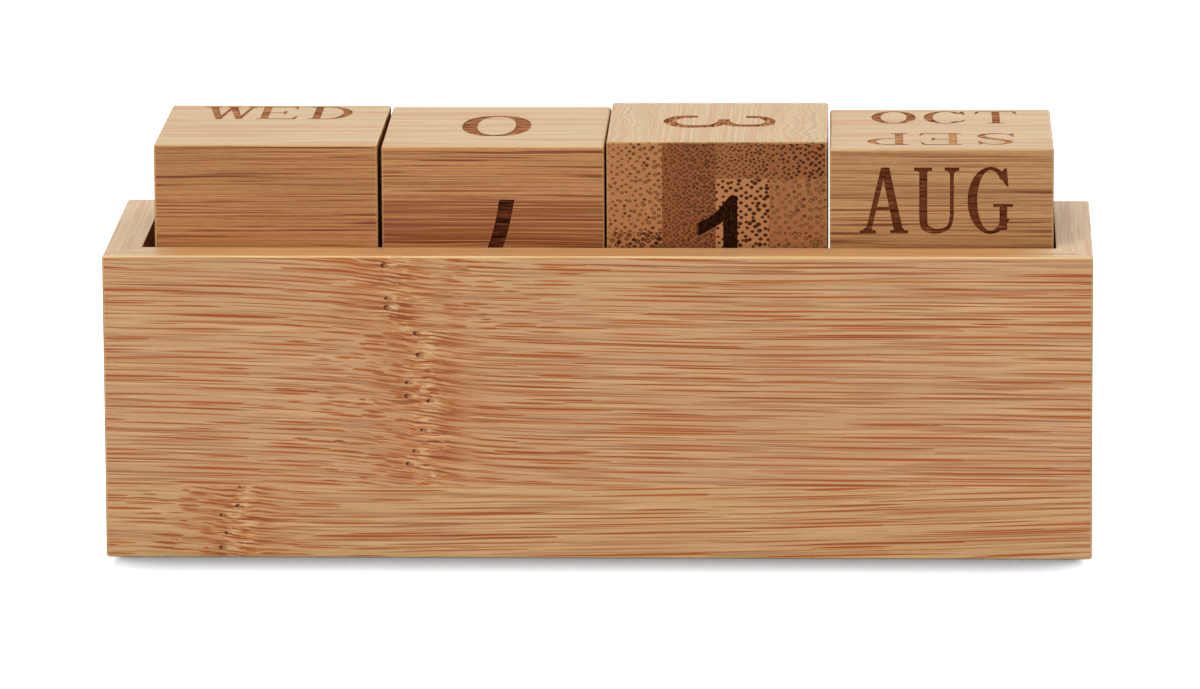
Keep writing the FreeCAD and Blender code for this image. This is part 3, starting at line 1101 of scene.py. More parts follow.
x, y, z = spread
round_x = g.parts(given["Round High"])[0]
inward = (y - low[1]) / (high[1] - low[1])
inside = (round_x - abs(x)) / (high[0] - low[0])
cut_x = x * (1.0 - given["End Cut"] / round_x * inward)
cut_y = y + (1.0 - inward) * given["Corner Cut"] * inside
spot = g.join(cut_x, cut_y, z)
rim = g.join(ease, ease, ease)
kept = g.vector("MAXIMUM", spot, g.vector("ADD", given["Round Low"], rim))
kept = g.vector("MINIMUM", kept, g.vector("SUBTRACT", given["Round High"], rim))
off = g.vector("SUBTRACT", spot, kept)
reach = g.vector("LENGTH", off, out="Value")
shrink = g.math("MINIMUM", ease / g.most(reach, NEXT_TO_NOTHING), 1.0)
seeded = g.vector("ADD", spot, g.join(given["Seed"], 0.0, 0.0))
rub = g.node("ShaderNodeTexNoise", {}, {"Vector": seeded, "Scale": WEAR_SCALE, "Detail": WEAR_DETAIL})
worn = shrink * (1.0 - g.step(reach / ease, *ON_EDGE) * rub * given["Wear"] / ease)
final = g.vector("ADD", kept, g.scaled(off, worn))
shaped = g.node("GeometryNodeSetPosition", {}, {"Geometry": grid, "Position": final})
real = g.node("GeometryNodeRealizeInstances", {}, {"Geometry": shaped})
finished = g.node("GeometryNodeSetMaterial", {}, {"Geometry": real, "Material": given["Finish"]})
g.node("NodeGroupOutput", {}, {"Board": finished})
print("eased_board tree has", len(board_tree.nodes), "nodes")

# %% [markdown]
# A helper hangs the tree on an empty mesh, fills in its inputs and turns the result into a plain mesh. The
# piece then takes the place of its solid, and moves with the same body.

# %% Board maker
EASE = 0.32 * MM
SPACING = 2.6 * MM
WEAR = 0.09 * MM


def grow(name, tree, inputs):
    """A plain mesh object from a geometry tree, with its named inputs filled in."""
    mesh = bpy.data.meshes.new(name + "_start")
    made = bpy.data.objects.new(name, mesh)
    scene.collection.objects.link(made)
    modifier = made.modifiers.new("grow", "NODES")
    modifier.node_group = tree
    sockets = {item.name: item.identifier for item in tree.interface.items_tree if item.in_out == "INPUT"}
    for key, value in inputs.items():
        modifier[sockets[key]] = value
    made.update_tag()
    bpy.context.view_layer.update()
    result = bpy.data.meshes.new_from_object(made.evaluated_get(bpy.context.evaluated_depsgraph_get()))
    made.modifiers.remove(modifier)
    made.data = result
    bpy.data.meshes.remove(mesh)
    result.name = name
    return made


def board(node, body, finish, seed, end_cut=0.0, corner_cut=0.0, around=None):
    """A board in the place of a solid. `around` is the box whose outer corners it shares."""
    own_low, own_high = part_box(node)
    round_low, round_high = around or (own_low, own_high)
    inputs = {
        "Low": own_low[:], "High": own_high[:], "Round Low": round_low[:], "Round High": round_high[:],
        "Ease": EASE, "Spacing": SPACING, "End Cut": end_cut, "Corner Cut": corner_cut,
        "Wear": WEAR, "Seed": float(seed), "Finish": finish,
    }
    made = grow(node + "_board", board_tree, inputs)
    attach(made, body)
    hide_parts(node)
    print(made.name, "has", len(made.data.polygons), "faces")
    return made

# %% [markdown]
# ## Dressing the case
#
# The back board is the face that is seen first: three strips, each with its knuckle at another place. The end
# walls run front to back, so their strips do too.

# %% Case boards
BACK_STRIPS_LOW = -11.5
BACK_KNUCKLES = ((-49.8, 0.2, 0.025, -2.0), (-24.6, 1.0, -0.006, -3.5), (-28.5, 0.5, -0.004, 9.0))
case_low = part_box("left_wall")[0]
case_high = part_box("right_wall")[1]
case_box = (case_low, case_high)
wall_inner = abs(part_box("shelf")[0].x)
back_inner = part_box("back_board")[1].y

# The back board's top is painted a lighter gold, as painted light.
back_wood = bamboo("back_bamboo", 3, start=(0.0, 0.0, BACK_STRIPS_LOW), knuckles=BACK_KNUCKLES,
                   thick=0.122, dash_part=0.97, crisp_part=0.55, wander_part=0.8, slant=0.08,
                   top_pale=0.5, top_colour=TOP_LIGHT_GOLD, end_pale=wall_inner / MM, bare="y")
wall_wood = bamboo("wall_bamboo", 11, run="y", start=(0.0, 30.0, -4.0), reach=40.0, dash_part=0.6,
                   top_pale=0.7, top_colour=TOP_LIGHT_WALL, top_lines=0.6, rubbed=0.2, bare="x")
shelf_wood = bamboo("shelf_bamboo", 17, strip="y", start=(0.0, -20.0, 0.0), reach=34.0)
rail_wood = bamboo("rail_bamboo", 23, start=(0.0, 0.0, 8.0), reach=36.0)
end_cut = case_high.x - wall_inner
corner_cut = back_inner - case_low.y

board("back_board", "case", back_wood, 1, end_cut=end_cut, around=case_box)
board("left_wall", "case", wall_wood, 2, corner_cut=corner_cut, around=case_box)
board("right_wall", "case", wall_wood, 3, corner_cut=corner_cut, around=case_box)
board("shelf", "case", shelf_wood, 4)
board("base_board", "case", shelf_wood, 5)
board("front_rail", "case", rail_wood, 6)

# %% [markdown]
# The drawer is made of the same bamboo. Its solids already have the eased edges, the grooves and the finger
# notch, so they stay and only take a finish.

# %% Drawer finish
FRONT_KNUCKLE = (31.0, 0.4, 0.0, 6.0)
drawer_side_wood = bamboo("drawer_side_bamboo", 31, run="y", start=(0.0, 10.0, -1.0))
DRAWER_FINISHES = {
    "drawer_front": bamboo("drawer_front_bamboo", 29, start=(0.0, 0.0, 1.0), reach=30.0, rubbed=0.25,
                           knuckles=(FRONT_KNUCKLE, FRONT_KNUCKLE)),
    "drawer_left_side": drawer_side_wood,
    "drawer_right_side": drawer_side_wood,
    "drawer_back": bamboo("drawer_back_bamboo", 37, start=(0.0, 0.0, -2.0)),
    "drawer_bottom": bamboo("drawer_bottom_bamboo", 41, strip="y", start=(0.0, -9.0, 0.0)),
}
for node, finish in DRAWER_FINISHES.items():
    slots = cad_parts[node].data.materials
    slots.clear()
    slots.append(finish)
print("drawer pieces finished:", len(DRAWER_FINISHES))

# %% [markdown]
# ## Letters and digits
#
# The blocks carry the days, the months and the digits. A laser burns them a fraction of a millimetre deep.
# They are drawn here as strokes on a grid whose height is 1: straight bars, slabs for the feet, parts of
# rings for round letters, and ribbons that swell and thin out. Strokes may overlap, because the next step
# joins them.

# %% Straight strokes
THICK = 0.125
SLAB = 0.052
BRACKET_HIGH = 1.9
BRACKET_LOW = 0.02
BRACKET_TOP = 0.03


def bar(x0, y0, x1, y1):
    """An upright rectangle."""
    return [[(x0, y0), (x1, y0), (x1, y1), (x0, y1)]]


def slab(x, y, wide, way):
    """A foot or a head: a flat slab with a small bracket, growing up (1) or down (-1) from its line."""
    half = wide / 2
    neck = half / 2
    edge = SLAB * way
    top = y + edge * BRACKET_HIGH
    return [[(x - half, y), (x + half, y), (x + half, y + edge), (x - half, y + edge)],
            [(x - neck - BRACKET_LOW, y + edge), (x + neck + BRACKET_LOW, y + edge),
             (x + neck - BRACKET_TOP, top), (x - neck + BRACKET_TOP, top)]]


def stroke(x0, y0, x1, y1, wide0, wide1=None):
    """A slanted bar, its widths measured level."""
    a = wide0 / 2
    c = (wide1 or wide0) / 2
    return [[(x0 - a, y0), (x0 + a, y0), (x1 + c, y1), (x1 - c, y1)]]


print("a slab has", len(slab(0, 0, 1, 1)), "parts")

# %% [markdown]
# Round letters need parts of rings, and S and most digits need ribbons. A ribbon runs smoothly through a few
# points: between two of them, its course also depends on the point before and the point after.

# %% Rings and ribbons
RING_STEPS = 30
RING_LEAST = 4
RIBBON_STEPS = 6


def ring(x, y, rx, ry, side, tip, begin=0, end=360, full=1.0):
    """Part of a ring that is thick at its sides and thin at its tips. Angles in degrees, from the right.

    `full` below 1 makes its shoulders squarer.
    """
    steps = max(RING_LEAST, round(RING_STEPS * (end - begin) / 360))
    turns = [math.radians(begin + (end - begin) * i / steps) for i in range(steps + 1)]
    round_by = [(math.copysign(abs(math.cos(a)) ** full, math.cos(a)),
                 math.copysign(abs(math.sin(a)) ** full, math.sin(a))) for a in turns]
    outer = [(x + rx * level, y + ry * up) for level, up in round_by]
    inner = [(x + (rx - side) * level, y + (ry - tip) * up) for level, up in round_by]
    return [[outer[i], outer[i + 1], inner[i + 1], inner[i]] for i in range(steps)]


def between(a, c, d, e, t):
    """A smooth number, a part t of the way from c to d, with the numbers before and after them."""
    bend = 2 * a - 5 * c + 4 * d - e
    twist = 3 * (c - d) + e - a
    return c + 0.5 * t * (d - a + t * (bend + t * twist))


def ribbon(points, widths):
    """A smooth ribbon through points, with a width at each."""
    line = []
    count = len(points)
    for i in range(count - 1):
        near = [points[max(i - 1, 0)], points[i], points[i + 1], points[min(i + 2, count - 1)]]
        for j in range(RIBBON_STEPS + (i == count - 2)):
            t = j / RIBBON_STEPS
            spot = Vector([between(*numbers, t) for numbers in zip(*near)])
            line.append((spot, widths[i] + (widths[i + 1] - widths[i]) * t))
    sides = []
    for i, (spot, wide) in enumerate(line):
        way = line[min(i + 1, len(line) - 1)][0] - line[max(i - 1, 0)][0]
        across = Vector((-way.y, way.x)).normalized() * wide / 2
        sides.append((tuple(spot + across), tuple(spot - across)))
    return [[a[0], b[0], b[1], a[1]] for a, b in zip(sides, sides[1:])]


print("a ring has", len(ring(0, 0, 1, 1, THICK, SLAB)), "parts")

# %% [markdown]
# The capitals follow an old book face: thick uprights, thin joins and flat feet. What several letters share
# has a helper of its own.

# %% Capitals
def foot(x, wide):
    """A foot that grows up from the bottom line."""
    return slab(x, 0, wide, 1)


def head(x, wide):
    """A head that grows down from the top line."""
    return slab(x, 1, wide, -1)


def stem(x, below=0.25, above=0.25):
    """An upright with a foot and a head of these widths, or without."""
    parts = bar(x - THICK / 2, 0, x + THICK / 2, 1)
    return parts + (foot(x, below) if below else []) + (head(x, above) if above else [])


def low_bar(x0, x1):
    """A thin level bar on the bottom line."""
    return bar(x0, 0, x1, SLAB)


def top_bar(x0, x1):
    """A thin level bar under the top line."""
    return bar(x0, 1 - SLAB, x1, 1)


def bowl(x, y, rx, ry, side):
    """The right half of a ring."""
    return ring(x, y, rx, ry, side, SLAB, -90, 90)


def beak(x, y, long, way):
    """The drooping end of an arm."""
    return [[(x, y), (x - 0.035, y), (x - 0.06, y + (SLAB + 0.01) * way), (x + 0.02, y + long * way)]]


SPINE = stem(0.17, 0, 0)
TOP_ARM = top_bar(0.1, 0.65) + beak(0.65, 1, 0.26, -1)
MIDDLE_ARM = bar(0.15, 0.49, 0.47, 0.54) + bar(0.45, 0.4, 0.5, 0.63)
CAPITALS = {
    "A": stroke(0.13, 0, 0.38, 1, 0.085) + stroke(0.62, 0, 0.4, 1, 0.14, 0.13) + bar(0.2, 0.36, 0.55, 0.405)
    + foot(0.13, 0.25) + foot(0.62, 0.28),
    "B": SPINE + low_bar(0.04, 0.36) + top_bar(0.04, 0.34) + bar(0.2, 0.5, 0.36, 0.55)
    + bowl(0.34, 0.76, 0.27, 0.24, 0.13) + bowl(0.36, 0.275, 0.31, 0.275, 0.14),
    "C": ring(0.38, 0.5, 0.35, 0.51, 0.145, 0.05, 38, 318)
    + [[(0.63, 0.98), (0.67, 0.98), (0.7, 0.68), (0.6, 0.83)],
       [(0.6, 0.16), (0.64, 0.13), (0.71, 0.28), (0.69, 0.3)]],
    "D": SPINE + low_bar(0.03, 0.34) + top_bar(0.03, 0.34) + bowl(0.32, 0.5, 0.4, 0.5, 0.145),
    "E": SPINE + low_bar(0.04, 0.3) + top_bar(0.04, 0.3) + TOP_ARM + low_bar(0.1, 0.67)
    + beak(0.67, 0, 0.28, 1) + MIDDLE_ARM,
    "F": stem(0.17, 0.28, 0) + top_bar(0.04, 0.3) + TOP_ARM + MIDDLE_ARM,
    "G": ring(0.38, 0.5, 0.36, 0.51, 0.15, 0.05, 42, 326)
    + [[(0.59, 0.98), (0.63, 0.99), (0.66, 0.7), (0.62, 0.72), (0.52, 0.88)]]
    + bar(0.52, 0.05, 0.64, 0.43) + bar(0.42, 0.4, 0.73, 0.448),
    "H": stem(0.16) + stem(0.56) + bar(0.16, 0.49, 0.56, 0.54),
    "I": stem(0.22),
    "J": bar(0.34, 0.2, 0.34 + THICK, 1) + head(0.4, 0.27)
    + ring(0.25, 0.23, 0.21, 0.24, 0.11, 0.05, 180, 360) + ring(0.09, 0.23, 0.055, 0.06, 0.05, 0.055),
    "L": stem(0.17, 0) + low_bar(0.04, 0.3) + low_bar(0.1, 0.64) + beak(0.64, 0, 0.28, 1),
    "M": bar(0.09, 0, 0.15, 1) + bar(0.66, 0, 0.66 + THICK, 1) + stroke(0.44, 0.12, 0.15, 1, 0.13)
    + stroke(0.44, 0.12, 0.7, 1, 0.06) + foot(0.12, 0.22) + foot(0.72, 0.24)
    + top_bar(0.02, 0.2) + top_bar(0.66, 0.84),
    "N": bar(0.1, 0, 0.16, 1) + bar(0.6, 0, 0.66, 1) + stroke(0.59, 0, 0.17, 1, 0.14) + foot(0.13, 0.22)
    + head(0.62, 0.23) + top_bar(0.02, 0.2),
    "O": ring(0.38, 0.5, 0.36, 0.51, 0.15, 0.055),
    "P": stem(0.17, 0.27, 0) + top_bar(0.03, 0.36) + bar(0.2, 0.44, 0.36, 0.49)
    + bowl(0.35, 0.72, 0.31, 0.28, 0.135),
    "R": stem(0.17, 0.27, 0) + top_bar(0.03, 0.36) + bar(0.2, 0.47, 0.36, 0.52)
    + bowl(0.35, 0.735, 0.29, 0.265, 0.135)
    + ribbon([(0.36, 0.49), (0.5, 0.4), (0.56, 0.18), (0.7, 0.03)], [0.06, 0.12, 0.13, 0.05]),
    "S": ribbon([(0.59, 0.76), (0.5, 0.91), (0.34, 0.965), (0.17, 0.89), (0.14, 0.74), (0.25, 0.59),
                 (0.44, 0.46), (0.56, 0.31), (0.52, 0.12), (0.33, 0.035), (0.15, 0.1), (0.08, 0.26)],
                [0.03, 0.05, 0.055, 0.09, 0.12, 0.14, 0.14, 0.12, 0.09, 0.055, 0.05, 0.03])
    + [[(0.57, 0.98), (0.6, 0.98), (0.62, 0.7), (0.59, 0.7), (0.53, 0.87)],
       [(0.06, 0.02), (0.09, 0.02), (0.13, 0.13), (0.08, 0.31), (0.05, 0.31)]],
    "T": stem(0.36, 0.3, 0) + top_bar(0.04, 0.68) + beak(0.68, 1, 0.27, -1)
    + [[(0.04, 1), (0.075, 1), (0.1, 0.93), (0.02, 0.73)]],
    "U": bar(0.1, 0.24, 0.1 + THICK, 1) + bar(0.58, 0.24, 0.64, 1) + head(0.16, 0.28) + head(0.61, 0.23)
    + ribbon([(0.163, 0.26), (0.19, 0.1), (0.36, 0.035), (0.55, 0.09), (0.61, 0.26)],
             [0.125, 0.12, 0.075, 0.06, 0.06]),
    "V": stroke(0.36, 0, 0.16, 1, 0.1, 0.14) + stroke(0.37, 0, 0.58, 1, 0.08, 0.06) + head(0.15, 0.27)
    + head(0.59, 0.22),
    "W": stroke(0.28, 0, 0.13, 1, 0.1, 0.13) + stroke(0.29, 0, 0.44, 1, 0.07, 0.05)
    + stroke(0.6, 0, 0.44, 1, 0.1, 0.13) + stroke(0.61, 0, 0.76, 1, 0.07, 0.05) + head(0.13, 0.26)
    + head(0.45, 0.22) + head(0.77, 0.2),
    "Y": stroke(0.36, 0.46, 0.13, 1, 0.12, 0.14) + stroke(0.37, 0.46, 0.6, 1, 0.06) + bar(0.3, 0, 0.425, 0.48)
    + foot(0.36, 0.28) + head(0.13, 0.26) + head(0.61, 0.22),
}
print("capitals drawn:", "".join(sorted(CAPITALS)))

# %% [markdown]
# The digits are bolder than the letters and have no feet. There is no 9, because a 6 turned round serves.

# %% Digits
HEAVY = 0.126
DIGITS = {
    "0": ring(0.3, 0.5, 0.306, 0.502, 0.136, 0.062, full=0.86),
    "1": [[(0.22, 0), (0.346, 0), (0.346, 1), (0.282, 1), (0.26, 0.978), (0.22, 0.927)],
          [(0.0, 0.637), (0.096, 0.688), (0.096, 0.804), (0.0, 0.758)],
          [(0.096, 0.688), (0.16, 0.726), (0.16, 0.855), (0.096, 0.804)],
          [(0.16, 0.726), (0.22, 0.765), (0.22, 0.927), (0.16, 0.855)]],
    "2": ribbon([(0.06, 0.7), (0.09, 0.86), (0.28, 0.945), (0.48, 0.86), (0.5, 0.68), (0.36, 0.46),
                 (0.17, 0.25), (0.1, 0.06)], [0.11, 0.12, 0.11, 0.13, 0.14, 0.13, 0.12, 0.12])
    + bar(0.03, 0, 0.58, 0.12),
    "3": ribbon([(0.05, 0.73), (0.08, 0.87), (0.27, 0.95), (0.46, 0.88), (0.46, 0.63), (0.27, 0.535)],
                [0.09, 0.1, 0.09, 0.11, 0.11, 0.1])
    + ribbon([(0.27, 0.545), (0.49, 0.43), (0.5, 0.17), (0.28, 0.055), (0.07, 0.13), (0.03, 0.3)],
             [0.1, 0.115, 0.12, 0.11, 0.12, 0.09]) + bar(0.17, 0.485, 0.3, 0.59),
    "4": bar(0.38, 0, 0.38 + HEAVY, 1) + bar(0.0, 0.24, 0.62, 0.35) + stroke(0.06, 0.32, 0.43, 1, 0.14),
    "5": bar(0.09, 0.5, 0.2, 1) + bar(0.09, 0.88, 0.54, 1)
    + ribbon([(0.12, 0.54), (0.3, 0.6), (0.5, 0.5), (0.51, 0.21), (0.3, 0.06), (0.1, 0.1), (0.03, 0.24)],
             [0.11, 0.11, 0.13, 0.13, 0.11, 0.12, 0.1]),
    "6": ring(0.31, 0.31, 0.29, 0.31, 0.135, 0.1)
    + ribbon([(0.09, 0.34), (0.1, 0.62), (0.25, 0.86), (0.47, 0.96)], [0.12, 0.13, 0.12, 0.1]),
    "7": bar(0.02, 0.87, 0.6, 1) + stroke(0.19, 0, 0.205, 0.07, 0.134)
    + ribbon([(0.53, 0.93), (0.37, 0.62), (0.255, 0.3), (0.197, 0.04)], [0.13, 0.126, 0.126, 0.13]),
    "8": ring(0.31, 0.28, 0.3, 0.28, 0.135, 0.1) + ring(0.31, 0.755, 0.26, 0.245, 0.12, 0.1),
}
print("digits drawn:", "".join(sorted(DIGITS)))

# %% [markdown]
# ## Engraving a face
#
# Each face of a block is a flat plate, on which the strokes are laid out. A triangulation that keeps every
# stroke's outline cuts the plate up. Triangles inside any stroke then sink by the depth of the burn, and
# small walls close the step. The points at the bottom also carry a value called burn, which the finish reads
# to darken the wood, so the letters keep their edge at any distance.

# %% Laying out words
LETTER_HIGH = 9.05
LETTER_STEP = 7.55
DIGIT_HIGH = 15.3
DIGIT_MIDDLE = 0.3
LETTER_MIDDLE = 0.365


def quarter_turn(u, v, quarters):
    """A point turned anticlockwise by quarters."""
    for unused in range(quarters % 4):
        u, v = -v, u
    return u, v


def lay_out(text, middle, quarters=0, high=None, wide=1.0):
    """The strokes of a word or a digit, in millimetres about the middle of a face. `wide` stretches them."""
    single = text in DIGITS
    high = high or (DIGIT_HIGH if single else LETTER_HIGH)
    shapes = []
    for place, letter in enumerate(text):
        strokes = DIGITS[letter] if single else CAPITALS[letter]
        offset = (place - (len(text) - 1) / 2) * LETTER_STEP * high / LETTER_HIGH
        centre = DIGIT_MIDDLE if single else LETTER_MIDDLE
        for polygon in strokes:
            points = [(((x - centre) * high + offset) * wide, (y - 0.5) * high) for x, y in polygon]
            turned = [quarter_turn(u, v, quarters) for u, v in points]
            shapes.append([(u + middle[0], v + middle[1]) for u, v in turned])
    return shapes


print("WED is laid out from", len(lay_out("WED", (0.0, 0.0))), "strokes")

# %% [markdown]
# A block has six plates. Each is given by three directions: out of the block, and to the right and up as one
# looks at it. The points round a plate are the same as on the rounded edges, so the two fit together.

# %% Plates of a block
PLATE_PARTS = 12
FACES = {
    "near": ((0, -1, 0), (1, 0, 0), (0, 0, 1)),
    "far": ((0, 1, 0), (-1, 0, 0), (0, 0, 1)),
    "left": ((-1, 0, 0), (0, -1, 0), (0, 0, 1)),
    "right": ((1, 0, 0), (0, 1, 0), (0, 0, 1)),
    "top": ((0, 0, 1), (1, 0, 0), (0, 1, 0)),
    "bottom": ((0, 0, -1), (1, 0, 0), (0, -1, 0)),
}


def twice_area(points):
    """Twice the signed area of a flat polygon: above 0 when it runs anticlockwise."""
    return sum(a[0] * c[1] - c[0] * a[1] for a, c in zip(points, points[1:] + points[:1]))


def plate_outline(half_u, half_v):
    """The points round a plate, anticlockwise."""
    steps = [i / PLATE_PARTS * 2 - 1 for i in range(PLATE_PARTS)]
    points = [(s * half_u, -half_v) for s in steps] + [(half_u, s * half_v) for s in steps]
    return points + [(-s * half_u, half_v) for s in steps] + [(-half_u, -s * half_v) for s in steps]


print("faces of a block:", ", ".join(FACES))

# %% [markdown]
# The engraver first lists the loops that cut the plate: its outline, and each stroke with its strength. The
# triangulation says which loops own each triangle, and the strongest one decides. Last, a wall is made at
# each side where a triangle meets a deeper one.

# %% Engraver
BURN_DEEP = 0.16
LEAST_AREA = 1e-6
SAME_POINT = 1e-5


def stroke_loops(half_u, half_v, writings):
    """The points, loops and strengths that cut up a plate."""
    points = [Vector(p) for p in plate_outline(half_u, half_v)]
    loops = [list(range(len(points)))]
    strengths = [0.0]
    for shapes, strength in writings:
        for shape in shapes:
            ordered = shape if twice_area(shape) > 0 else shape[::-1]
            if twice_area(ordered) < LEAST_AREA:
                continue
            loops.append(list(range(len(points), len(points) + len(ordered))))
            points += [Vector(p) for p in ordered]
            strengths.append(strength)
    return points, loops, strengths


def engrave(mesh, burn_layer, place, half_u, half_v, writings):
    """Fills one plate of a block. `place` turns (u, v, depth) into a point of the block."""
    points, loops, strengths = stroke_loops(half_u, half_v, writings)
    flat, unused, faces, unused, unused, owners = delaunay_2d_cdt(points, [], loops, 0, SAME_POINT, True)
    made = {}

    def point(index, strength):
        key = (index, strength)
        if key not in made:
            depth = BURN_DEEP if strength else 0.0
            made[key] = mesh.verts.new(place(flat[index][0], flat[index][1], depth))
            made[key][burn_layer] = strength
        return made[key]

    sides = {}
    for face, owner in zip(faces, owners):
        strength = max([strengths[i] for i in owner] or [0.0])
        ring_of = list(face)
        if twice_area([tuple(flat[i]) for i in ring_of]) < 0:
            ring_of.reverse()
        mesh.faces.new([point(i, strength) for i in ring_of])
        for a, c in zip(ring_of, ring_of[1:] + ring_of[:1]):
            sides[(a, c)] = strength
    for (a, c), strength in sides.items():
        other = sides.get((c, a))
        if other is not None and strength < other:
            mesh.faces.new([point(c, strength), point(a, strength), point(a, other), point(c, other)])


print("strokes are", BURN_DEEP, "mm deep")

# %% [markdown]
# The rest of a block is its rounded edges. They come from the same idea as the boards: a grid over a cube,
# with every point beyond the inner box pulled in to the radius. A little noise makes the edges as uneven as
# sanding leaves them.

# %% Rounded edges
BLOCK_EASE = 0.26
BLOCK_WEAR = 0.06
EDGE_PARTS = 4
WEAR_STRETCH = 0.45
PAST_EDGE = 1.01


def edge_lines(half):
    """Grid lines across a block: close together in the rounding, even on the plate."""
    inner = half - BLOCK_EASE
    edge = [inner + BLOCK_EASE * i / EDGE_PARTS for i in range(EDGE_PARTS + 1)]
    plate = [inner * (i / PLATE_PARTS * 2 - 1) for i in range(PLATE_PARTS + 1)]
    return [-e for e in reversed(edge[1:])] + plate + edge[1:]


def eased(spot, inner, seed):
    """A point on a block, pulled in to the radius of its edges and a little worn there."""
    kept = Vector([max(-i, min(i, s)) for i, s in zip(inner, spot)])
    off = spot - kept
    if off.length > BLOCK_EASE * PAST_EDGE:
        rub = noise.noise(spot * WEAR_STRETCH + Vector((seed, 0, 0))) * 0.5 + 0.5
        off = off.normalized() * (BLOCK_EASE - BLOCK_WEAR * rub)
    return kept + off


print("grid lines across a block:", len(edge_lines(1.0)))

# %% [markdown]
# Then the six faces of a block come together in one mesh, already in its place on the shelf and turned a
# little, because loose blocks never stand quite straight. Points that two faces share are merged.

# %% Block maker
MERGE_WITHIN = 0.002 * MM


def make_block(name, body, size, corner, degrees, writings, finish, seed):
    """A block with eased edges and engraved faces, in its turned place on the shelf."""
    half = [s / 2 for s in size]
    inner = Vector([h - BLOCK_EASE for h in half])
    half = Vector(half)
    turned = Matrix.Rotation(math.radians(degrees), 4, "Z")
    settled = Matrix.Translation(Vector(corner)) @ turned @ Matrix.Translation(half)
    mesh = bmesh.new()
    burn_layer = mesh.verts.layers.float.new("burn")
    for side, directions in FACES.items():
        out, right, up = (Vector(way) for way in directions)
        reach = [abs(way.dot(half)) for way in (out, right, up)]
        lines_u = edge_lines(reach[1])
        lines_v = edge_lines(reach[2])

        def place(u, v, depth):
            spot = right * u + up * v + out * (reach[0] - depth)
            return settled @ eased(spot, inner, seed) * MM

        grid = [[mesh.verts.new(place(u, v, 0.0)) for u in lines_u] for v in lines_v]
        plate = range(EDGE_PARTS, EDGE_PARTS + PLATE_PARTS)
        for j in range(len(lines_v) - 1):
            for i in range(len(lines_u) - 1):
                if i in plate and j in plate:
                    continue
                mesh.faces.new([grid[j][i], grid[j][i + 1], grid[j + 1][i + 1], grid[j + 1][i]])
        engrave(mesh, burn_layer, place, reach[1] - BLOCK_EASE, reach[2] - BLOCK_EASE, writings.get(side, []))
    loose = [v for v in mesh.verts if not v.link_faces]
    bmesh.ops.delete(mesh, geom=loose, context="VERTS")
    bmesh.ops.remove_doubles(mesh, verts=mesh.verts, dist=MERGE_WITHIN)
    data = bpy.data.meshes.new(name)
    mesh.to_mesh(data)
    mesh.free()
    data.materials.append(finish)
    made = bpy.data.objects.new(name, data)
    scene.collection.objects.link(made)
    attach(made, body)
    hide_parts(body + "_block")
    print(name, "has", len(data.polygons), "faces")


print("block maker ready")

# %% [markdown]
# ## The four blocks
#
# A perpetual calendar gets by with four blocks. Seven days share the six faces of the day block, so one face
# has two. The month block has two months on each face, the second upside down. The digits need 0, 1 and 2 on
# both date blocks, and the 6 turned round serves as 9. Where a word is not in use, it does not matter how a
# block is turned, so some faces read upside down.
#
# A block is given by its size, the place of its left near corner, and its turn in degrees. A strength says
# how hard the laser burnt: from faint gold to black.

# %% Block sizes and writings
SHELF_TOP = 25.5
BLOCK_BACK = -14.05
BLOCKS = {
    "day": ((30.15, 30.0, 30.05), -59.85, -0.3),
    "units": ((30.0, 30.0, 29.85), -29.15, 0.2),
    "tens": ((29.7, 29.7, 30.5), 1.15, 0.45),
    "month": ((30.14, 30.0, 29.5), 31.12, 0.6),
}
FAINT = 0.3
LIGHT = 0.47
LIGHTISH = 0.54
DARK = 0.88
NEAR_BLACK = 1.1
BLACK = 1.25
UPPER = 8.0
LOWER = -7.7


def word(text, u, v, strength, quarters=0, high=None, wide=1.0):
    """One writing on a face, its middle at (u, v)."""
    return lay_out(text, (u, v), quarters, high, wide), strength


def day(text):
    """A day's name near the top of a face."""
    return [word(text, 0.0, UPPER, DARK)]


def digit(text):
    """A digit in the middle of a face."""
    return [word(text, 0.0, 0.0, BLACK)]


def pair(upper, lower):
    """Two names on a face, the lower one upside down."""
    return [word(upper, 0.0, UPPER, DARK), word(lower, 0.0, LOWER, DARK, 2)]


WRITINGS = {
    "day": {
        "top": [word("WED", 0.0, 9.0, LIGHT, 0, 9.5, 0.9)],
        "near": [word("MON", 0.2, LOWER, DARK)],
        "far": day("THU"),
        "left": day("TUE"),
        "right": day("FRI"),
        "bottom": pair("SAT", "SUN"),
    },
    "units": {
        "top": [word("0", -0.1, 0.2, LIGHTISH)],
        "near": [word("7", 0.2, -0.06, NEAR_BLACK, 2)],
        "far": digit("6"),
        "left": digit("1"),
        "right": digit("2"),
        "bottom": digit("8"),
    },
    "tens": {
        "top": [word("3", 0.15, -0.1, LIGHTISH, 3)],
        "near": [word("1", 2.05, 0.2, BLACK)],
        "far": digit("2"),
        "left": digit("0"),
        "right": digit("4"),
        "bottom": digit("5"),
    },
    "month": {
        "top": [word("OCT", 0.58, 8.9, LIGHTISH, 0, 9.2, 0.92), word("SEP", -0.12, -7.4, FAINT, 2, 8.7)],
        "near": [word("AUG", -0.72, 7.72, DARK, wide=0.95), word("JUL", 0.0, LOWER, DARK, 2)],
        "far": pair("MAY", "JUN"),
        "left": pair("JAN", "FEB"),
        "right": pair("MAR", "APR"),
        "bottom": pair("NOV", "DEC"),
    },
}
print("writings:", sum(len(side) for block in WRITINGS.values() for side in block.values()))

# %% [markdown]
# The tens block lies with its fibres front to back, so its near face shows the cut ends of four glued layers.
# Each is made of two pieces of bamboo, one above the other. A kind of cut end is given by how dark its wood
# is, how far apart and how large its dots are, how plain their hearts, and how black they are.

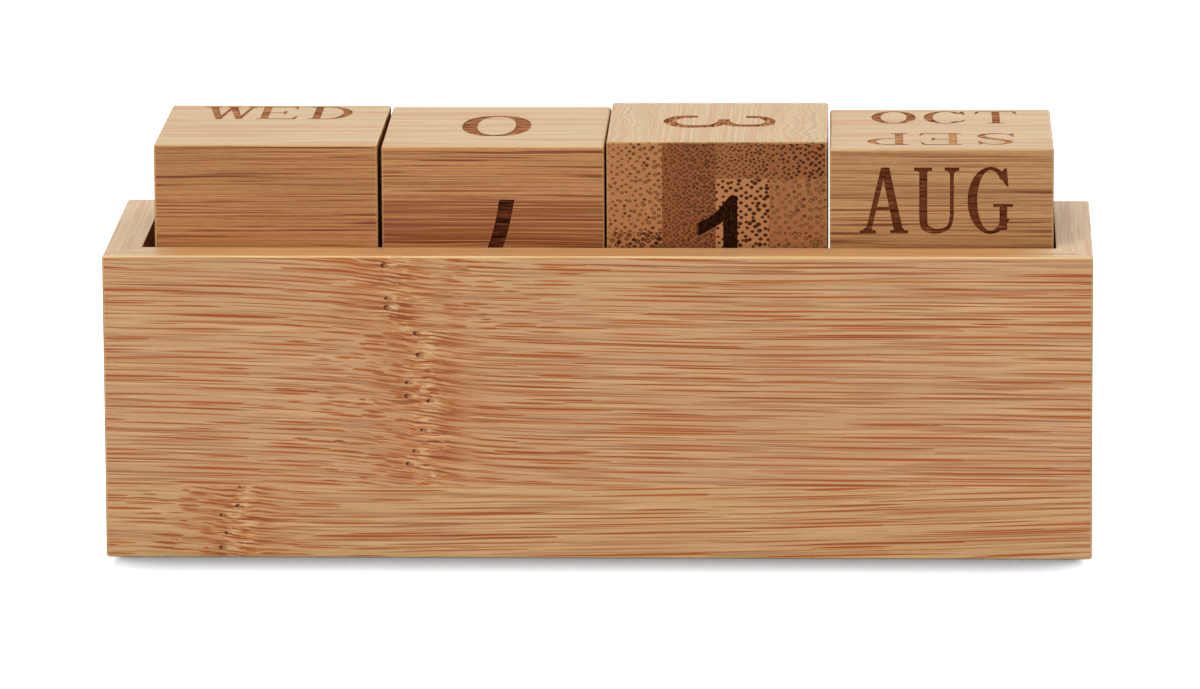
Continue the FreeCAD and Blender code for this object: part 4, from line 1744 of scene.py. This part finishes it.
# %% Cut ends of the tens block
SPARSE = (0.08, 1.25, 0.2, 0.7, 0.85)
CROWDED = (0.85, 0.76, 0.23, 0.2, 0.85)
FINE = (0.64, 0.86, 0.21, 0.2, 0.95)
BOLD = (-0.05, 1.24, 0.23, 0.05, 0.97)
BOLD_EYES = (0.3, 1.2, 0.27, 0.6, 0.95)
BOLD_DARK = (0.72, 1.06, 0.21, 0.1, 0.97)
EYES = (0.45, 1.4, 0.21, 0.7, 0.72)
TENS_ENDS = (
    (13.6, BOLD_EYES, SPARSE),
    (-9.0, CROWDED, CROWDED),
    (20.9, BOLD, FINE),
    (20.9, EYES, BOLD_DARK),
)
TENS_SWIRLS = (2.6, 0.2, 0.3, 3.0)
print("glued layers in the tens block:", len(TENS_ENDS))

# %% [markdown]
# The blocks are sawn from other boards than the case: their dashes are finer and their lines longer. Each has
# its own tones and its own dashes, and shares the rest.

# %% Dress the blocks
EDGE_TINT = paint(221, 194, 164)
MONTH_TINT = paint(217, 202, 178)
SEED_STEP = 10
SAWN = {"edge_tint": EDGE_TINT, "burnt": True, "dash_part": 0.72, "line_part": 0.5, "line_gap": 0.24,
        "line_long": 45.0, "light_part": 0.8, "streak_part": 0.4, "fleck_part": 0.5,
        "wander_part": 0.6, "crisp_part": 0.95, "top_pale": 0.6}
BLOCK_FINISHES = {
    "day": bamboo("day_bamboo", 47, start=(-59.85, BLOCK_BACK, 26.35), strip_wide=22.0, layer=7.4,
                  tones=(1.16, 1.17), reach=46.0, row=0.9, thick=0.07, keep=0.7, rubbed=0.35, **SAWN),
    "units": bamboo("units_bamboo", 53, start=(-29.15, BLOCK_BACK, 25.95), strip_wide=22.0, layer=7.6,
                    tones=(0.5, 1.27), reach=54.0, row=1.1, thick=0.065, keep=0.6, rubbed=0.3, **SAWN),
    "tens": bamboo("tens_bamboo", 59, run="y", start=(1.42, BLOCK_BACK, 30.0), strip_wide=20.9,
                   layer=7.2, reach=50.0, row=1.2, thick=0.08, keep=0.6, rubbed=0.3, ends=TENS_ENDS,
                   top_lines=0.8, top_gap=0.5, swirls=TENS_SWIRLS, **SAWN),
    "month": bamboo("month_bamboo", 61, start=(31.12, BLOCK_BACK, 18.0), strip_wide=26.0, layer=7.5,
                    tones=(1.14, 1.27), reach=34.0, row=0.95, thick=0.075, keep=0.75, rubbed=0.3,
                    **(SAWN | {"edge_tint": MONTH_TINT})),
}
for count, (name, (size, left, degrees)) in enumerate(BLOCKS.items()):
    corner = (left, BLOCK_BACK, SHELF_TOP)
    make_block(name + "_cube", name, size, corner, degrees, WRITINGS[name], BLOCK_FINISHES[name],
               count * SEED_STEP)
